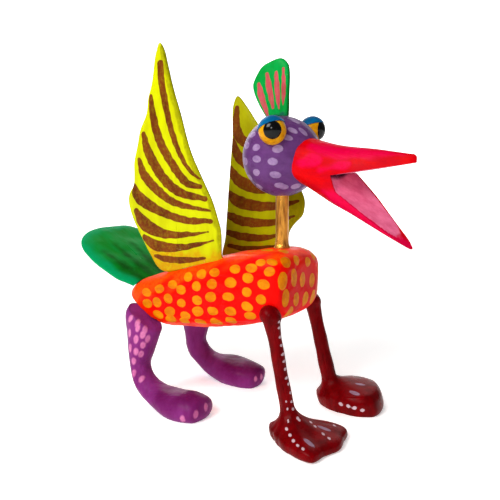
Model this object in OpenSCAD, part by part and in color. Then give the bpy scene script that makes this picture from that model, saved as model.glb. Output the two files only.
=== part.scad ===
// Hand-carved wooden alebrije: a four-legged bird with an open beak, a crest,
// two upright wings and a fan tail. Every limb is a separate carving, pegged
// into the body block, and the wings, tail and crest lift out of their slots.
// The figure faces -Y and stands on Z = 0. Units are millimetres.

/* [Body] */
// Height of the back above the ground at the neck
back_z = 58.8; // [57:0.1:60]
// Half-width of the body at the middle
body_half_w = 17.5; // [17:0.1:18.5]
// How square the body's cross-section is
body_squareness = 4; // [3:0.5:6]

/* [Head] */
// Radius of the round head
head_r = 13.4; // [13:0.1:14]
// Height of the head's centre
head_z = 89.6; // [89:0.1:91]
// Radius of one eye bead
eye_r = 4.4; // [4:0.1:4.6]
// Radius of the neck dowel
neck_r = 2.3; // [2:0.1:2.6]
// Reach of the beak tips in front of the origin
beak_reach = 65.5; // [64:0.5:68]

/* [Wings, tail and crest] */
// Thickness of a wing blade
wing_t = 2.6; // [2:0.1:3]
// Outward lean of the right wing in degrees
wing_right_lean = 5; // [3:1:8]
// Outward lean of the left wing in degrees
wing_left_lean = 8; // [5:1:10]
// Thickness of the tail blade
tail_t = 3; // [2.4:0.1:3.4]
// Upward tilt of the tail in degrees
tail_tilt = 33; // [28:1:38]
// Thickness of the crest blade
crest_t = 2.8; // [2.2:0.1:3.2]
// Clearance round each sliding tongue
slide_gap = 0.12; // [0.08:0.02:0.2]

/* [Legs] */
// Radius of the front leg at its middle
front_leg_r = 1.7; // [1.5:0.1:2]
// Radius of a front leg's rounded shoulder
shoulder_r = 3.5; // [3.2:0.1:3.8]
// Radius of the dowel pegs in the front legs
front_peg_r = 1.1; // [0.9:0.1:1.3]
// Radius of the dowel pegs in the rear legs
rear_peg_r = 1.4; // [1.2:0.1:1.6]

/* [Hidden] */
$fn = 48;

neck_y = -21;
head_c = [0, -20.8, head_z];
neck_in_head = 5.5;
neck_in_body = 10;
neck_foot_h = 3.2;
neck_running_gap = 0.06;
far = 200;

// Body stations from chest to rump: [y, half-width / body_half_w, underside z, back z - back_z]
body_stations = [
    [-29.6, 0.6, 41.8, -6.4], [-28.6, 0.8, 38.1, -2.6], [-25.6, 0.93, 35.6, -0.4],
    [-20, 0.98, 33.8, 0], [-12, 1, 31.8, -0.8], [-3, 1, 30, -2.5], [6, 1, 28.6, -4.8],
    [15, 0.99, 27.6, -7.6], [23, 0.96, 27, -10.2], [30, 0.91, 27.2, -12.4],
    [35.4, 0.82, 29, -14.6], [37.8, 0.68, 31.5, -16.8], [38.8, 0.55, 33.6, -18.6]
];
// The rump's underside is a flat bevel that the rear legs are glued to
bevel_y = 18.6;
bevel_z = 27.6;
bevel_angle = 30;

// Wing outlines as [along the back, up the blade], clockwise from the front of the root
wing_right_edge = [
    [-5, 5.5], [-5.2, 10.5], [-4.1, 15], [-2.4, 20.4], [0.1, 25.8], [2.7, 31.3], [5.2, 36.8],
    [6.9, 42.2], [8.8, 50.3], [11.2, 58.4], [13, 66.4], [14.6, 71.8], [15.7, 74.4], [16.3, 72],
    [17.6, 69.2], [20.2, 61.7], [22.6, 56.6], [24.1, 51.3], [27.6, 46.1], [29.7, 40.6], [31.9, 34.9],
    [32.4, 30], [33.2, 26.4], [35.7, 23.3], [36.5, 20.3], [36, 17.3], [34.6, 13.5], [31.5, 7.5], [28.4, 3]
];
wing_left_edge = [
    [-16.2, 5.2], [-16.4, 9.2], [-18.3, 12.3], [-21.2, 15.3], [-21.9, 18.3], [-21.7, 21.3], [-20.2, 24.6],
    [-17.6, 28.6], [-11, 36.6], [-4, 45], [2.2, 52.7], [4.8, 56], [7.9, 59.6], [10.2, 62], [11.6, 62.4],
    [12.7, 59.6], [13, 56], [12.3, 46], [12.3, 36], [12.1, 20.7], [12.1, 6.5]
];
wing_root_x = 13;
wing_root_z = 54;
wing_right_root = [-4.2, 21];
wing_left_root = [-15.8, 11.8];
wing_tongue = [12, 1.8, 7];
wing_right_tongue_y = 6;
wing_left_tongue_y = -3;
root_gap = 0.35;

tail_root = [0, 36, 43];
tail_edge = [
    [-13.4, 1.9], [-16.6, 4.5], [-18.4, 11.5], [-19.2, 19], [-18.6, 25.4], [-15.2, 31.2], [-8.5, 34.8],
    [0, 36], [8.5, 35.8], [15, 33.4], [18.6, 27.6], [19.2, 19.6], [18.4, 11.5], [16.6, 4.5], [13.4, 1.9]
];
tail_tongue = [14, 2, 7];

crest_edge = [
    [6.3, 1.4], [8.6, 5], [10.6, 8.7], [11.4, 12], [10.6, 14.2], [9, 16.6], [7.8, 17.8], [6.2, 18.9],
    [2.5, 19.7], [0.4, 19.6], [-1.5, 17.4], [-2, 15.2], [-2.1, 8], [-1.9, 1.1]
];
crest_origin = [0, -20.8, 101.9];
crest_tongue = [6, 1.6, 4];
crest_mid_y = 2.3;

// Beak stations from tip to head: [y, low z, high z, half-width]
upper_jaw = [
    [-65.5, 87.6, 88.8, 1.1], [-63, 87.0, 89.2, 2.0], [-56, 85.6, 90.3, 3.4], [-48, 83.7, 91.7, 5.0],
    [-40, 81.8, 93.2, 6.9], [-34, 80.8, 94.8, 8.8], [-29, 81.5, 96.2, 10.2], [-24, 82.4, 96.8, 10.4]
];
lower_jaw = [
    [-65.2, 60.8, 61.9, 1.1], [-64, 61.4, 63, 1.7], [-58, 64.6, 67.3, 3.2], [-51, 68.3, 72.5, 4.7],
    [-45, 71.6, 77.8, 5.9], [-40, 74.4, 82.0, 6.9], [-34, 77.7, 87, 8.6], [-29, 79.7, 90, 9.8],
    [-24, 80.8, 91, 9.7]
];
beak_peg_r = 2.4;
beak_peg_len = 12;
beak_peg_c = [0, -33.6, 87];

// Eye centres, measured from the head's centre
eye_right_at = [-13, -3.5, 7.2];
eye_left_at = [12.5, -5.2, 9.8];
eye_shank_r = 1.5;
eye_shank_len = 5;

shoulder_right = [-16.6, -26, 38.6];
shoulder_left = [16.4, -24.8, 38];
ankle_right = [-17, -33.2, 6];
ankle_left = [16.2, -33.4, 6];
front_peg_up = [0.55, 0.45, 0.7];
front_peg_len = 8;
foot_h = 11;
toe_right_h = 3.4;
toe_left_h = 6;
web_right = 3;
web_left = 1.8;
// Front sole outlines as [degrees from straight ahead, distance from the ankle]
sole_right = [
    [0, 16.4], [18, 16.2], [36, 18.2], [50, 15.8], [75, 9.4], [110, 6.6], [150, 7.4], [176, 8.2],
    [210, 7], [232, 6.4], [265, 7.6], [295, 11.4], [316, 17.1], [335, 15.2], [348, 15.4]
];
sole_left = [
    [0, 18.2], [20, 18], [34, 17.8], [50, 14.9], [75, 9.5], [110, 6.2], [150, 6], [180, 6.6],
    [210, 6], [250, 5.8], [285, 7], [310, 9.6], [330, 14.4], [345, 18]
];

// Rear leg stations down the spine: [y, z, radius in profile, half-thickness, drift outwards]
rear_leg = [
    [26.4, 40, 9, 6.2, 0], [26.6, 32, 8.2, 6.2, 0], [27.6, 26, 6.5, 6, 0.4], [28.3, 20, 5, 5.3, 0.8],
    [28.8, 14.2, 3.9, 4.6, 1.3], [27.4, 8.8, 4.2, 4.8, 1.9], [23.4, 4.8, 4.8, 5.8, 2.4], [18, 3.1, 5, 6.6, 2.7],
    [11, 2.9, 5.1, 7.4, 2.9], [4.4, 3, 5.2, 7.6, 3], [-0.4, 3, 4.4, 6.4, 3], [-3, 2.8, 2.8, 4, 3]
];
rear_leg_x_right = -17.5;
rear_leg_x_left = 14;
rear_peg_len = 13;
rear_peg_c = [26.6, 32.6];

// A round cosine or sine pushed out towards a square one
function squared(c, n) = sign(c) * pow(abs(c), 2 / n);

// One closed cross-section in the plane y = const
function ring_y(y, x0, half_w, low, high, n, count) = [
    for (i = [0:count - 1]) let (a = 360 * i / count) [
        x0 + half_w * squared(cos(a), n),
        y,
        (low + high) / 2 + (high - low) / 2 * squared(sin(a), n)
    ]
];

// Catmull-Rom curve through a closed outline, in steps between its points
function curve_point(p0, p1, p2, p3, t) =
    0.5 * (2 * p1 + (p2 - p0) * t + (2 * p0 - 5 * p1 + 4 * p2 - p3) * t * t
        + (3 * p1 - p0 - 3 * p2 + p3) * t * t * t);
function open_curve(p, steps) = [
    for (i = [0:len(p) - 2]) for (s = [0:steps - 1])
        curve_point(p[max(i - 1, 0)], p[i], p[i + 1], p[min(i + 2, len(p) - 1)], s / steps),
    p[len(p) - 1]
];

// The skin between rings of equal length, closed by flat ends
module loft(rings) {
    n = len(rings[0]);
    last = len(rings) - 1;
    points = [for (r = rings) for (p = r) p];
    sides = [
        for (k = [0:last - 1]) for (i = [0:n - 1]) let (j = (i + 1) % n)
            each [[k * n + i, k * n + j, (k + 1) * n + i], [k * n + j, (k + 1) * n + j, (k + 1) * n + i]]
    ];
    front = [for (i = [n - 1:-1:0]) i];
    back = [for (i = [0:n - 1]) last * n + i];
    polyhedron(points, concat(sides, [front, back]));
}

// A straight rod between two points
module rod(from, to, r1, r2) {
    d = to - from;
    length = norm(d);
    translate(from)
        rotate([0, acos(d[2] / length), atan2(d[1], d[0])])
            cylinder(h = length, r1 = r1, r2 = r2);
}

// Everything on the upper side of the bevel when side = 1, on its lower side when side = -1
module bevel_half(side) {
    translate([0, bevel_y, bevel_z])
        rotate([bevel_angle, 0, 0])
            translate([-far / 2, -far / 2, side > 0 ? 0 : -far])
                cube([far, far, far]);
}

// Height of the back at x, y, read off the body stations
function back_at(x, y) =
    let (
        half = body_half_w * lookup(y, [for (s = body_stations) [s[0], s[1]]]),
        low = lookup(y, [for (s = body_stations) [s[0], s[2]]]),
        high = back_z + lookup(y, [for (s = body_stations) [s[0], s[3]]]),
        n = body_squareness
    )
    (low + high) / 2 + (high - low) / 2 * pow(1 - pow(min(abs(x) / half, 1), n), 1 / n);

module neck_axis(z) translate([0, neck_y, z]) children();

// Blade coordinates of a wing: x along the back, y up the blade, z across it
module wing_frame(side) {
    translate([side * wing_root_x, 0, wing_root_z])
        rotate([0, side < 0 ? -wing_right_lean : wing_left_lean, 0])
            rotate([90, 0, 90])
                children();
}
module wing_tongue_block(side, y, grow) {
    wing_frame(side)
        translate([y - wing_tongue[0] / 2 - grow, -wing_tongue[2] - 1.5 - grow, -wing_tongue[1] / 2 - grow])
            cube([wing_tongue[0] + 2 * grow, wing_tongue[2] + 4 + grow, wing_tongue[1] + 2 * grow]);
}
module tail_frame() {
    translate(tail_root) rotate([tail_tilt, 0, 0]) children();
}
module tail_tongue_block(grow) {
    tail_frame()
        translate([-tail_tongue[0] / 2 - grow, -tail_tongue[2] - grow, -tail_tongue[1] / 2 - grow])
            cube([tail_tongue[0] + 2 * grow, tail_tongue[2] + 4 + grow, tail_tongue[1] + 2 * grow]);
}
module crest_tongue_block(grow) {
    translate(crest_origin)
        translate([-crest_tongue[1] / 2 - grow, crest_mid_y - crest_tongue[0] / 2 - grow, -crest_tongue[2] - grow])
            cube([crest_tongue[1] + 2 * grow, crest_tongue[0] + 2 * grow, crest_tongue[2] + 3 + grow]);
}
module front_peg(at, side) {
    d = [-side * front_peg_up[0], front_peg_up[1], front_peg_up[2]];
    u = d / norm(d);
    rod(at - u, at + (front_peg_len - 1) * u, front_peg_r, front_peg_r);
}
module rear_peg(x) {
    translate([x, rear_peg_c[0], rear_peg_c[1]])
        rotate([bevel_angle, 0, 0])
            cylinder(h = rear_peg_len, r = rear_peg_r, center = true);
}

module body() {
    color([0.95, 0.13, 0.02])
    difference() {
        intersection() {
            loft([
                for (s = body_stations)
                    ring_y(s[0], 0, body_half_w * s[1], s[2], back_z + s[3], body_squareness, 40)
            ]);
            bevel_half(1);
        }
        neck_axis(back_z - neck_in_body) cylinder(h = neck_in_body + 5, r = neck_r);
        wing_tongue_block(-1, wing_right_tongue_y, slide_gap);
        wing_tongue_block(1, wing_left_tongue_y, slide_gap);
        tail_tongue_block(slide_gap);
        translate(shoulder_right) sphere(r = shoulder_r);
        translate(shoulder_left) sphere(r = shoulder_r);
        front_peg(shoulder_right, -1);
        front_peg(shoulder_left, 1);
        rear_peg(rear_leg_x_right + 4);
        rear_peg(rear_leg_x_left - 3);
    }
}

module neck_dowel() {
    color([0.72, 0.48, 0.12]) {
        neck_axis(back_z - neck_in_body)
            cylinder(h = head_z - head_r + neck_in_head - back_z + neck_in_body, r = neck_r);
        neck_axis(back_z + 0.2) cylinder(h = neck_foot_h, r1 = neck_r + 1.1, r2 = neck_r);
    }
}

module head_ball() translate(head_c) sphere(r = head_r);

module eye_shank(at) {
    u = at / norm(at);
    rod(head_c + at - (eye_shank_len + 2) * u, head_c + at, eye_shank_r, eye_shank_r);
}
module facing(u) {
    rotate([0, acos(u[2]), atan2(u[1], u[0])]) children();
}
// A bead seated on the head, both balls turned so that their poles lie on the line between them
module eye(at) {
    u = at / norm(at);
    difference() {
        translate(head_c + at) facing(u) sphere(r = eye_r);
        translate(head_c) facing(u) sphere(r = head_r);
    }
    eye_shank(at);
}

module beak_peg_rod(r) {
    translate(beak_peg_c) rotate([90, 0, 0]) cylinder(h = beak_peg_len, r = r, center = true);
}

module head() {
    color([0.33, 0.19, 0.45])
    difference() {
        head_ball();
        neck_axis(head_z - head_r - 5)
            cylinder(h = 5 + neck_in_head + 0.4, r = neck_r + neck_running_gap);
        eye_shank(eye_right_at);
        eye_shank(eye_left_at);
        crest_tongue_block(slide_gap);
        beak_peg_rod(beak_peg_r);
    }
}

module beak() {
    color([0.88, 0.02, 0.1])
    difference() {
        union() {
            loft([for (s = upper_jaw) ring_y(s[0] * beak_reach / 65.5, 0, s[3], s[1], s[2], 2.2, 24)]);
            loft([for (s = lower_jaw) ring_y(s[0] * beak_reach / 65.5, 0, s[3], s[1], s[2], 2.2, 24)]);
        }
        head_ball();
        beak_peg_rod(beak_peg_r);
    }
}
module beak_peg() {
    color([0.8, 0.66, 0.45]) beak_peg_rod(beak_peg_r);
}

module eye_right() {
    color([0.8, 0.5, 0.05]) eye(eye_right_at);
}
module eye_left() {
    color([0.8, 0.5, 0.05]) eye(eye_left_at);
}

module crest() {
    color([0, 0.55, 0.2]) {
        difference() {
            translate(crest_origin)
                rotate([90, 0, 90])
                    linear_extrude(height = crest_t, center = true)
                        polygon(open_curve(crest_edge, 4));
            translate(head_c) sphere(r = head_r + 0.2);
        }
        crest_tongue_block(0);
    }
}

// The blade's root follows the back, a hair above it
module wing_blade(side, edge, root) {
    steps = 8;
    foot = [
        for (i = [0:steps]) let (y = root[1] + (root[0] - root[1]) * i / steps) [
            y,
            max(back_at(wing_root_x - wing_t / 2 - 0.3, y), back_at(wing_root_x, y)) - wing_root_z + root_gap
        ]
    ];
    wing_frame(side)
        linear_extrude(height = wing_t, center = true)
            polygon(concat(open_curve(edge, 4), foot));
}
module wing_right() {
    color([0.72, 0.78, 0]) {
        wing_blade(-1, wing_right_edge, wing_right_root);
        wing_tongue_block(-1, wing_right_tongue_y, 0);
    }
}
module wing_left() {
    color([0.72, 0.78, 0]) {
        wing_blade(1, wing_left_edge, wing_left_root);
        wing_tongue_block(1, wing_left_tongue_y, 0);
    }
}

module tail() {
    color([0, 0.5, 0.22]) {
        tail_frame()
            linear_extrude(height = tail_t, center = true)
                polygon(open_curve(tail_edge, 4));
        tail_tongue_block(0);
    }
}

// A webbed foot: level slices that shrink from the sole's outline to the ankle
function sole_reach(sole, a) = lookup(a, concat(sole, [[360, sole[0][1]]]));
function foot_ring(sole, ankle, z, top, toe_h, web) = [
    for (i = [0:39]) let (
        a = 360 - 9 * i,
        spread = z <= toe_h ? 1 - 0.06 * z / toe_h : 0.94 * pow(1 - (z - toe_h) / (foot_h - toe_h), web),
        r = front_leg_r + 0.2 + (sole_reach(sole, a) - front_leg_r - 0.2) * spread,
        lean = (top - ankle) * (z - ankle[2]) / (top[2] - ankle[2])
    )
    [ankle[0] + lean[0] + r * sin(a), ankle[1] + lean[1] - r * cos(a), z]
];
module front_leg(shoulder, ankle, sole, toe_h, web, side) {
    color([0.33, 0.01, 0.03])
    difference() {
        union() {
            loft([
                for (z = [0, toe_h / 2, toe_h, for (k = [1:6]) toe_h + (foot_h - toe_h) * k / 6])
                    foot_ring(sole, ankle, z, shoulder, toe_h, web)
            ]);
            rod(ankle, shoulder, front_leg_r + 0.1, front_leg_r);
            translate(shoulder) sphere(r = shoulder_r);
        }
        front_peg(shoulder, side);
    }
}
module leg_front_right() front_leg(shoulder_right, ankle_right, sole_right, toe_right_h, web_right, -1);
module leg_front_left() front_leg(shoulder_left, ankle_left, sole_left, toe_left_h, web_left, 1);

// A bent, club-footed leg: round slices square to a spine that turns forward at the ankle
function spine_turn(i) =
    let (
        a = rear_leg[max(i - 1, 0)],
        b = rear_leg[min(i + 1, len(rear_leg) - 1)],
        d = [b[0] - a[0], b[1] - a[1]]
    )
    d / norm(d);
module rear_leg_shape(x0, side) {
    intersection() {
        loft([
            for (i = [0:len(rear_leg) - 1]) let (s = rear_leg[i], d = spine_turn(i)) [
                for (k = [0:31]) let (a = 360 * k / 32) [
                    x0 + side * s[4] + s[3] * cos(a),
                    s[0] - d[1] * s[2] * sin(a),
                    s[1] + d[0] * s[2] * sin(a)
                ]
            ]
        ]);
        bevel_half(-1);
        translate([-far / 2, -far / 2, 0]) cube([far, far, far]);
    }
}
module leg_rear_right() {
    color([0.45, 0.15, 0.42])
    difference() {
        rear_leg_shape(rear_leg_x_right, -1);
        rear_peg(rear_leg_x_right + 4);
    }
}
module leg_rear_left() {
    color([0.45, 0.15, 0.42])
    difference() {
        rear_leg_shape(rear_leg_x_left, 1);
        rear_peg(rear_leg_x_left - 3);
    }
}

module peg_front_right() {
    color([0.8, 0.66, 0.45]) front_peg(shoulder_right, -1);
}
module peg_front_left() {
    color([0.8, 0.66, 0.45]) front_peg(shoulder_left, 1);
}
module peg_rear_right() {
    color([0.8, 0.66, 0.45]) rear_peg(rear_leg_x_right + 4);
}
module peg_rear_left() {
    color([0.8, 0.66, 0.45]) rear_peg(rear_leg_x_left - 3);
}

body();
neck_dowel();
head();
beak();
beak_peg();
eye_right();
eye_left();
crest();
wing_right();
wing_left();
tail();
leg_front_right();
leg_front_left();
leg_rear_right();
leg_rear_left();
peg_front_right();
peg_front_left();
peg_rear_right();
peg_rear_left();
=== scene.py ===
"""A small alebrije bird, carved from soft wood, painted by hand and varnished, built round its CAD
frame.

Lengths are millimetres in the figure's own frame until a mesh is made. The figure faces -Y, and its
right side is at -X. Every carving is a surface worked out on a grid, then pared with knife cuts;
painted dabs and strokes are fields in millimetres, positive inside the paint, that ride on the mesh as
attributes. """

import bpy
import numpy as np
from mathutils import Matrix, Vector


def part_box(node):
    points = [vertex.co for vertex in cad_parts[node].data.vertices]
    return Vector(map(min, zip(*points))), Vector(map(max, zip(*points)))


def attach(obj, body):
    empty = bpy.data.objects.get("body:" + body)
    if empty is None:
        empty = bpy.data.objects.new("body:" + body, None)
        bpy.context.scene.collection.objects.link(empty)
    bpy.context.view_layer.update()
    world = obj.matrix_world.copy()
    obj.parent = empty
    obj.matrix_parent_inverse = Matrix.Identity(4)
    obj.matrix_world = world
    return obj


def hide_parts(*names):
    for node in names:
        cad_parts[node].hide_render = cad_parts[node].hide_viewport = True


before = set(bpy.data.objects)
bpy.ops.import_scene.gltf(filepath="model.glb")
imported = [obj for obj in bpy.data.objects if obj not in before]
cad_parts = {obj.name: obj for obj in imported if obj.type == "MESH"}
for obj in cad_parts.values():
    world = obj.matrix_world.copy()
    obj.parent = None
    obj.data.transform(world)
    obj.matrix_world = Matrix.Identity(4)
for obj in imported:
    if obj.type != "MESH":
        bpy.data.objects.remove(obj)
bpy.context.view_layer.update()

MM = 0.001
SEED = 7
LEFT = np.array([1.0, 0, 0])
BACK = np.array([0, 1.0, 0])
UP = np.array([0, 0, 1.0])
# Straight pieces between two points of a smooth curve, and a field's value far outside its paint
CURVE_STEPS = 32
OUTSIDE = -99.0


def corners(node):
    """Lowest and highest corner of a CAD node, in millimetres."""
    low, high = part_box(node)
    return np.array(low) / MM, np.array(high) / MM


def rgb(red, green, blue):
    """A colour as it looks on a screen, 0 to 255, made linear."""
    c = np.array([red, green, blue]) / 255
    linear = np.where(c <= 0.04045, c / 12.92, ((c + 0.055) / 1.055) ** 2.4)
    return (*linear, 1.0)


# ---------------------------------------------------------------- curves and grids


def round_turn(count):
    """Angles evenly round a circle."""
    return np.linspace(0, 2 * np.pi, count, endpoint=False)


def through(points, count, closed=False):
    """A smooth curve through points (Catmull-Rom), with count samples spaced evenly along its length."""
    p = np.asarray(points, float)
    if closed:
        padded = np.vstack([p[-1:], p, p[:2]])
    else:
        padded = np.vstack([2 * p[0] - p[1], p, 2 * p[-1] - p[-2]])
    a, b, c, d = (padded[i : len(padded) - 3 + i, None] for i in range(4))
    t = np.linspace(0, 1, CURVE_STEPS, endpoint=False)[None, :, None]
    cubic = 3 * (b - c) + d - a
    curve = b + 0.5 * t * (c - a + t * (2 * a - 5 * b + 4 * c - d + t * cubic))
    fine = np.vstack([curve.reshape(-1, p.shape[1]), p[:1] if closed else p[-1:]])
    along = np.concatenate([[0], np.cumsum(np.linalg.norm(np.diff(fine, axis=0), axis=1))])
    at = np.linspace(0, along[-1], count, endpoint=not closed)
    return np.stack([np.interp(at, along, fine[:, k]) for k in range(fine.shape[1])], axis=1)


def even_angles(squareness, flatness, count):
    """Angles that space points evenly round a superellipse whose height is flatness times its width."""
    fine = np.linspace(0, 2 * np.pi, 6000)
    ring = superellipse(fine, 1, flatness, squareness)
    along = np.concatenate([[0], np.cumsum(np.linalg.norm(np.diff(ring, axis=0), axis=1))])
    return np.interp(np.linspace(0, along[-1], count, endpoint=False), along, fine)


def superellipse(angle, half_wide, half_high, squareness):
    """Sign-keeping cosine and sine to the power 2 / squareness, times the half-sizes."""
    c, s = np.cos(angle), np.sin(angle)
    power = 2 / squareness
    across = half_wide * np.sign(c) * np.abs(c) ** power
    up = half_high * np.sign(s) * np.abs(s) ** power
    return np.stack([across, up], axis=-1)


def with_caps(rings, steps=6):
    """Rings of shape (rows, columns, 3) with flat ends added: copies of the end rings drawn in to their
    centres."""
    scale = np.linspace(0.02, 1, steps, endpoint=False)[:, None, None]
    first, last = rings[0], rings[-1]
    near = first.mean(0) + scale * (first - first.mean(0))
    far = last.mean(0) + scale[::-1] * (last - last.mean(0))
    return np.concatenate([near, rings, far])


def grid_faces(rows, columns):
    """Quads between neighbouring rings, each ring closed on itself, and a fan of triangles over each end."""
    row, column = np.meshgrid(np.arange(rows - 1), np.arange(columns), indexing="ij")
    here = row * columns + column
    beside = row * columns + (column + 1) % columns
    quads = np.stack([here, beside, beside + columns, here + columns], axis=-1).reshape(-1, 4)
    ring = np.arange(columns)
    nearer = np.roll(ring, -1)
    last = (rows - 1) * columns
    start, end = rows * columns, rows * columns + 1
    fans = np.vstack(
        [
            np.stack([nearer, ring, np.full(columns, start)], axis=-1),
            np.stack([last + ring, last + nearer, np.full(columns, end)], axis=-1),
        ]
    )
    return quads, fans


def outward(points, quads, fans):
    """The faces turned round if the closed surface's signed volume is negative."""
    triangles = np.vstack([quads[:, [0, 1, 2]], quads[:, [0, 2, 3]], fans])
    a, b, c = (points[triangles[:, k]] for k in range(3))
    if np.einsum("ij,ij->i", a, np.cross(b, c)).sum() < 0:
        return quads[:, ::-1], fans[:, ::-1]
    return quads, fans


def solid(name, rings, shape=None, sharp=38):
    """A closed mesh object over rings of shape (rows, columns, 3). shape, if given, moves all points at
    once."""
    rows, columns = rings.shape[:2]
    points = np.vstack([rings.reshape(-1, 3), rings[0].mean(0), rings[-1].mean(0)])
    quads, fans = outward(points, *grid_faces(rows, columns))
    if shape is not None:
        points = shape(points, vertex_normals(points, quads, fans))
    mesh = bpy.data.meshes.new(name)
    mesh.vertices.add(len(points))
    mesh.vertices.foreach_set("co", (points * MM).ravel())
    mesh.loops.add(quads.size + fans.size)
    mesh.loops.foreach_set("vertex_index", np.concatenate([quads.ravel(), fans.ravel()]).astype(np.int32))
    mesh.polygons.add(len(quads) + len(fans))
    starts = np.concatenate([np.arange(len(quads)) * 4, quads.size + np.arange(len(fans)) * 3])
    mesh.polygons.foreach_set("loop_start", starts.astype(np.int32))
    mesh.update(calc_edges=True)
    mesh.validate()
    obj = bpy.data.objects.new(name, mesh)
    bpy.context.scene.collection.objects.link(obj)
    smooth(obj, sharp)
    return obj


def vertex_normals(points, quads, fans):
    """Area-weighted mean of the faces round each vertex."""
    normals = np.zeros_like(points)
    for faces, i, j, k in ((quads, 0, 1, 2), (quads, 0, 2, 3), (fans, 0, 1, 2)):
        a, b, c = points[faces[:, i]], points[faces[:, j]], points[faces[:, k]]
        face = np.cross(b - a, c - a)
        for corner in range(faces.shape[1]):
            np.add.at(normals, faces[:, corner], face)
    return normals / np.maximum(np.linalg.norm(normals, axis=1), 1e-12)[:, None]


def smooth(obj, sharp):
    """Smooth shading that breaks where faces meet at more than sharp degrees."""
    obj.data.polygons.foreach_set("use_smooth", np.ones(len(obj.data.polygons), bool))
    obj.data.set_sharp_from_angle(angle=np.radians(sharp))
    obj.data.update()


def cut(obj, tools, sharp=38):
    """obj with each tool's volume taken away. The new faces take the tool's material."""
    for tool in tools:
        step = obj.modifiers.new("cut", "BOOLEAN")
        step.operation = "DIFFERENCE"
        step.solver = "MANIFOLD"
        step.material_mode = "TRANSFER"
        step.object = tool
        graph = bpy.context.evaluated_depsgraph_get()
        made = bpy.data.meshes.new_from_object(obj.evaluated_get(graph))
        obj.modifiers.clear()
        old, obj.data = obj.data, made
        made.name = obj.name
        bpy.data.meshes.remove(old)
        used = tool.data
        bpy.data.objects.remove(tool)
        bpy.data.meshes.remove(used)
    smooth(obj, sharp)
    return obj


def surface_of(obj):
    """A mesh's vertices in millimetres, and its vertex normals."""
    count = len(obj.data.vertices)
    points, normals = np.empty(count * 3), np.empty(count * 3)
    obj.data.vertices.foreach_get("co", points)
    obj.data.vertex_normals.foreach_get("vector", normals)
    return points.reshape(-1, 3) / MM, normals.reshape(-1, 3)


def store(obj, **fields):
    """Each field as a float on the mesh's points."""
    for name, values in fields.items():
        layer = obj.data.attributes.new(name, "FLOAT", "POINT")
        layer.data.foreach_set("value", np.asarray(values, np.float32))


# ---------------------------------------------------------------- the carver's knife


def waver(points, size, seed, octaves=5):
    """Smooth random heights between about -1 and 1: a sum of sine waves in random directions, size mm
    long."""
    rng = np.random.default_rng(seed)
    total = np.zeros(len(points))
    for _ in range(octaves):
        direction = rng.normal(size=3)
        direction *= 2 * np.pi / size * rng.uniform(0.6, 1.5) / np.linalg.norm(direction)
        total += np.sin(points @ direction + rng.uniform(0, 2 * np.pi))
    return total / octaves**0.5


def knife_cuts(points, normals, count, depth, seed, tilt=0.05, bulge=200.0):
    """Shallow cuts: each takes a random surface point's tangent ball of radius bulge mm, nearly flat,
    leans it by tilt, sinks it by depth, and moves every point that stands proud of it back onto it.
    Points that stand prouder than the cut is deep are moved by less and less."""
    rng = np.random.default_rng(seed)
    picks = rng.choice(len(points), count)
    pared = points.copy()
    for pick, sink in zip(picks, rng.uniform(0.3, 1, count) * depth):
        facing = normals[pick] + rng.normal(scale=tilt, size=3)
        facing /= np.linalg.norm(facing)
        away = pared - points[pick]
        proud = away @ facing + sink - (away**2).sum(1) / (2 * bulge)
        close = (normals @ facing > 0.5) & (proud > 0)
        taken = np.minimum(proud, sink * np.exp(np.minimum(1 - proud / sink, 0)))
        pared[close] -= taken[close, None] * facing
    return pared


def carved(count, depth, wobble, size, seed, bulge=200.0):
    """A shaping step: a slow unevenness of wobble mm, then knife cuts."""

    def shape(points, normals):
        uneven = points + normals * (wobble * waver(points, size, seed))[:, None]
        return knife_cuts(uneven, normals, count, depth, seed + 1, bulge=bulge)

    return shape


def tube(path, radii, columns, side=(1, 0, 0)):
    """Rings square to a path. radii are (half-width along side, half-depth across it) at each point."""
    path = np.asarray(path, float)
    along = np.gradient(path, axis=0)
    along /= np.linalg.norm(along, axis=1)[:, None]
    first = np.asarray(side, float) - along * (along @ np.asarray(side, float))[:, None]
    first /= np.linalg.norm(first, axis=1)[:, None]
    second = np.cross(along, first)
    angle = np.linspace(0, 2 * np.pi, columns, endpoint=False)
    wide = radii[:, 0, None, None] * np.cos(angle)[None, :, None] * first[:, None]
    deep = radii[:, 1, None, None] * np.sin(angle)[None, :, None] * second[:, None]
    return path[:, None] + wide + deep


# Radians left open round a ball's poles, which a fan of faces closes
POLE_GAP = 0.02


def ball(centre, radius, rows, columns, pole=(0, 0, 1)):
    """Rings of equal latitude round the pole axis: radius times its sine outwards and its cosine along
    the axis."""
    pole = np.asarray(pole, float) / np.linalg.norm(pole)
    helper = UP if abs(pole[2]) < 0.9 else BACK
    first = np.cross(helper, pole)
    first /= np.linalg.norm(first)
    second = np.cross(pole, first)
    latitude = np.linspace(POLE_GAP, np.pi - POLE_GAP, rows)
    angle = round_turn(columns)
    round_pole = np.cos(angle)[:, None] * first + np.sin(angle)[:, None] * second
    ring = np.sin(latitude)[:, None, None] * round_pole[None]
    return np.asarray(centre) + radius * (ring + np.cos(latitude)[:, None, None] * pole)


def block(low, high, to_row, rounding=0.15, rows=10, columns=32):
    """A small block between two corners of its own frame, its four long edges rounded, put in the row
    frame."""
    low, high = np.asarray(low, float), np.asarray(high, float)
    middle, half = (low + high) / 2, (high - low) / 2
    angle = round_turn(columns) + np.pi / columns
    ring = np.clip(superellipse(angle, 1, 1, 2) * 3, -1, 1) * (half[[0, 2]] - rounding)
    ring = ring + rounding * superellipse(angle, 1, 1, 2)
    up = np.linspace(low[1], high[1], rows)
    local = np.broadcast_arrays(middle[0] + ring[:, 0], up[:, None], middle[2] + ring[:, 1])
    return to_row(with_caps(np.stack(local, axis=-1), 3))


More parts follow.
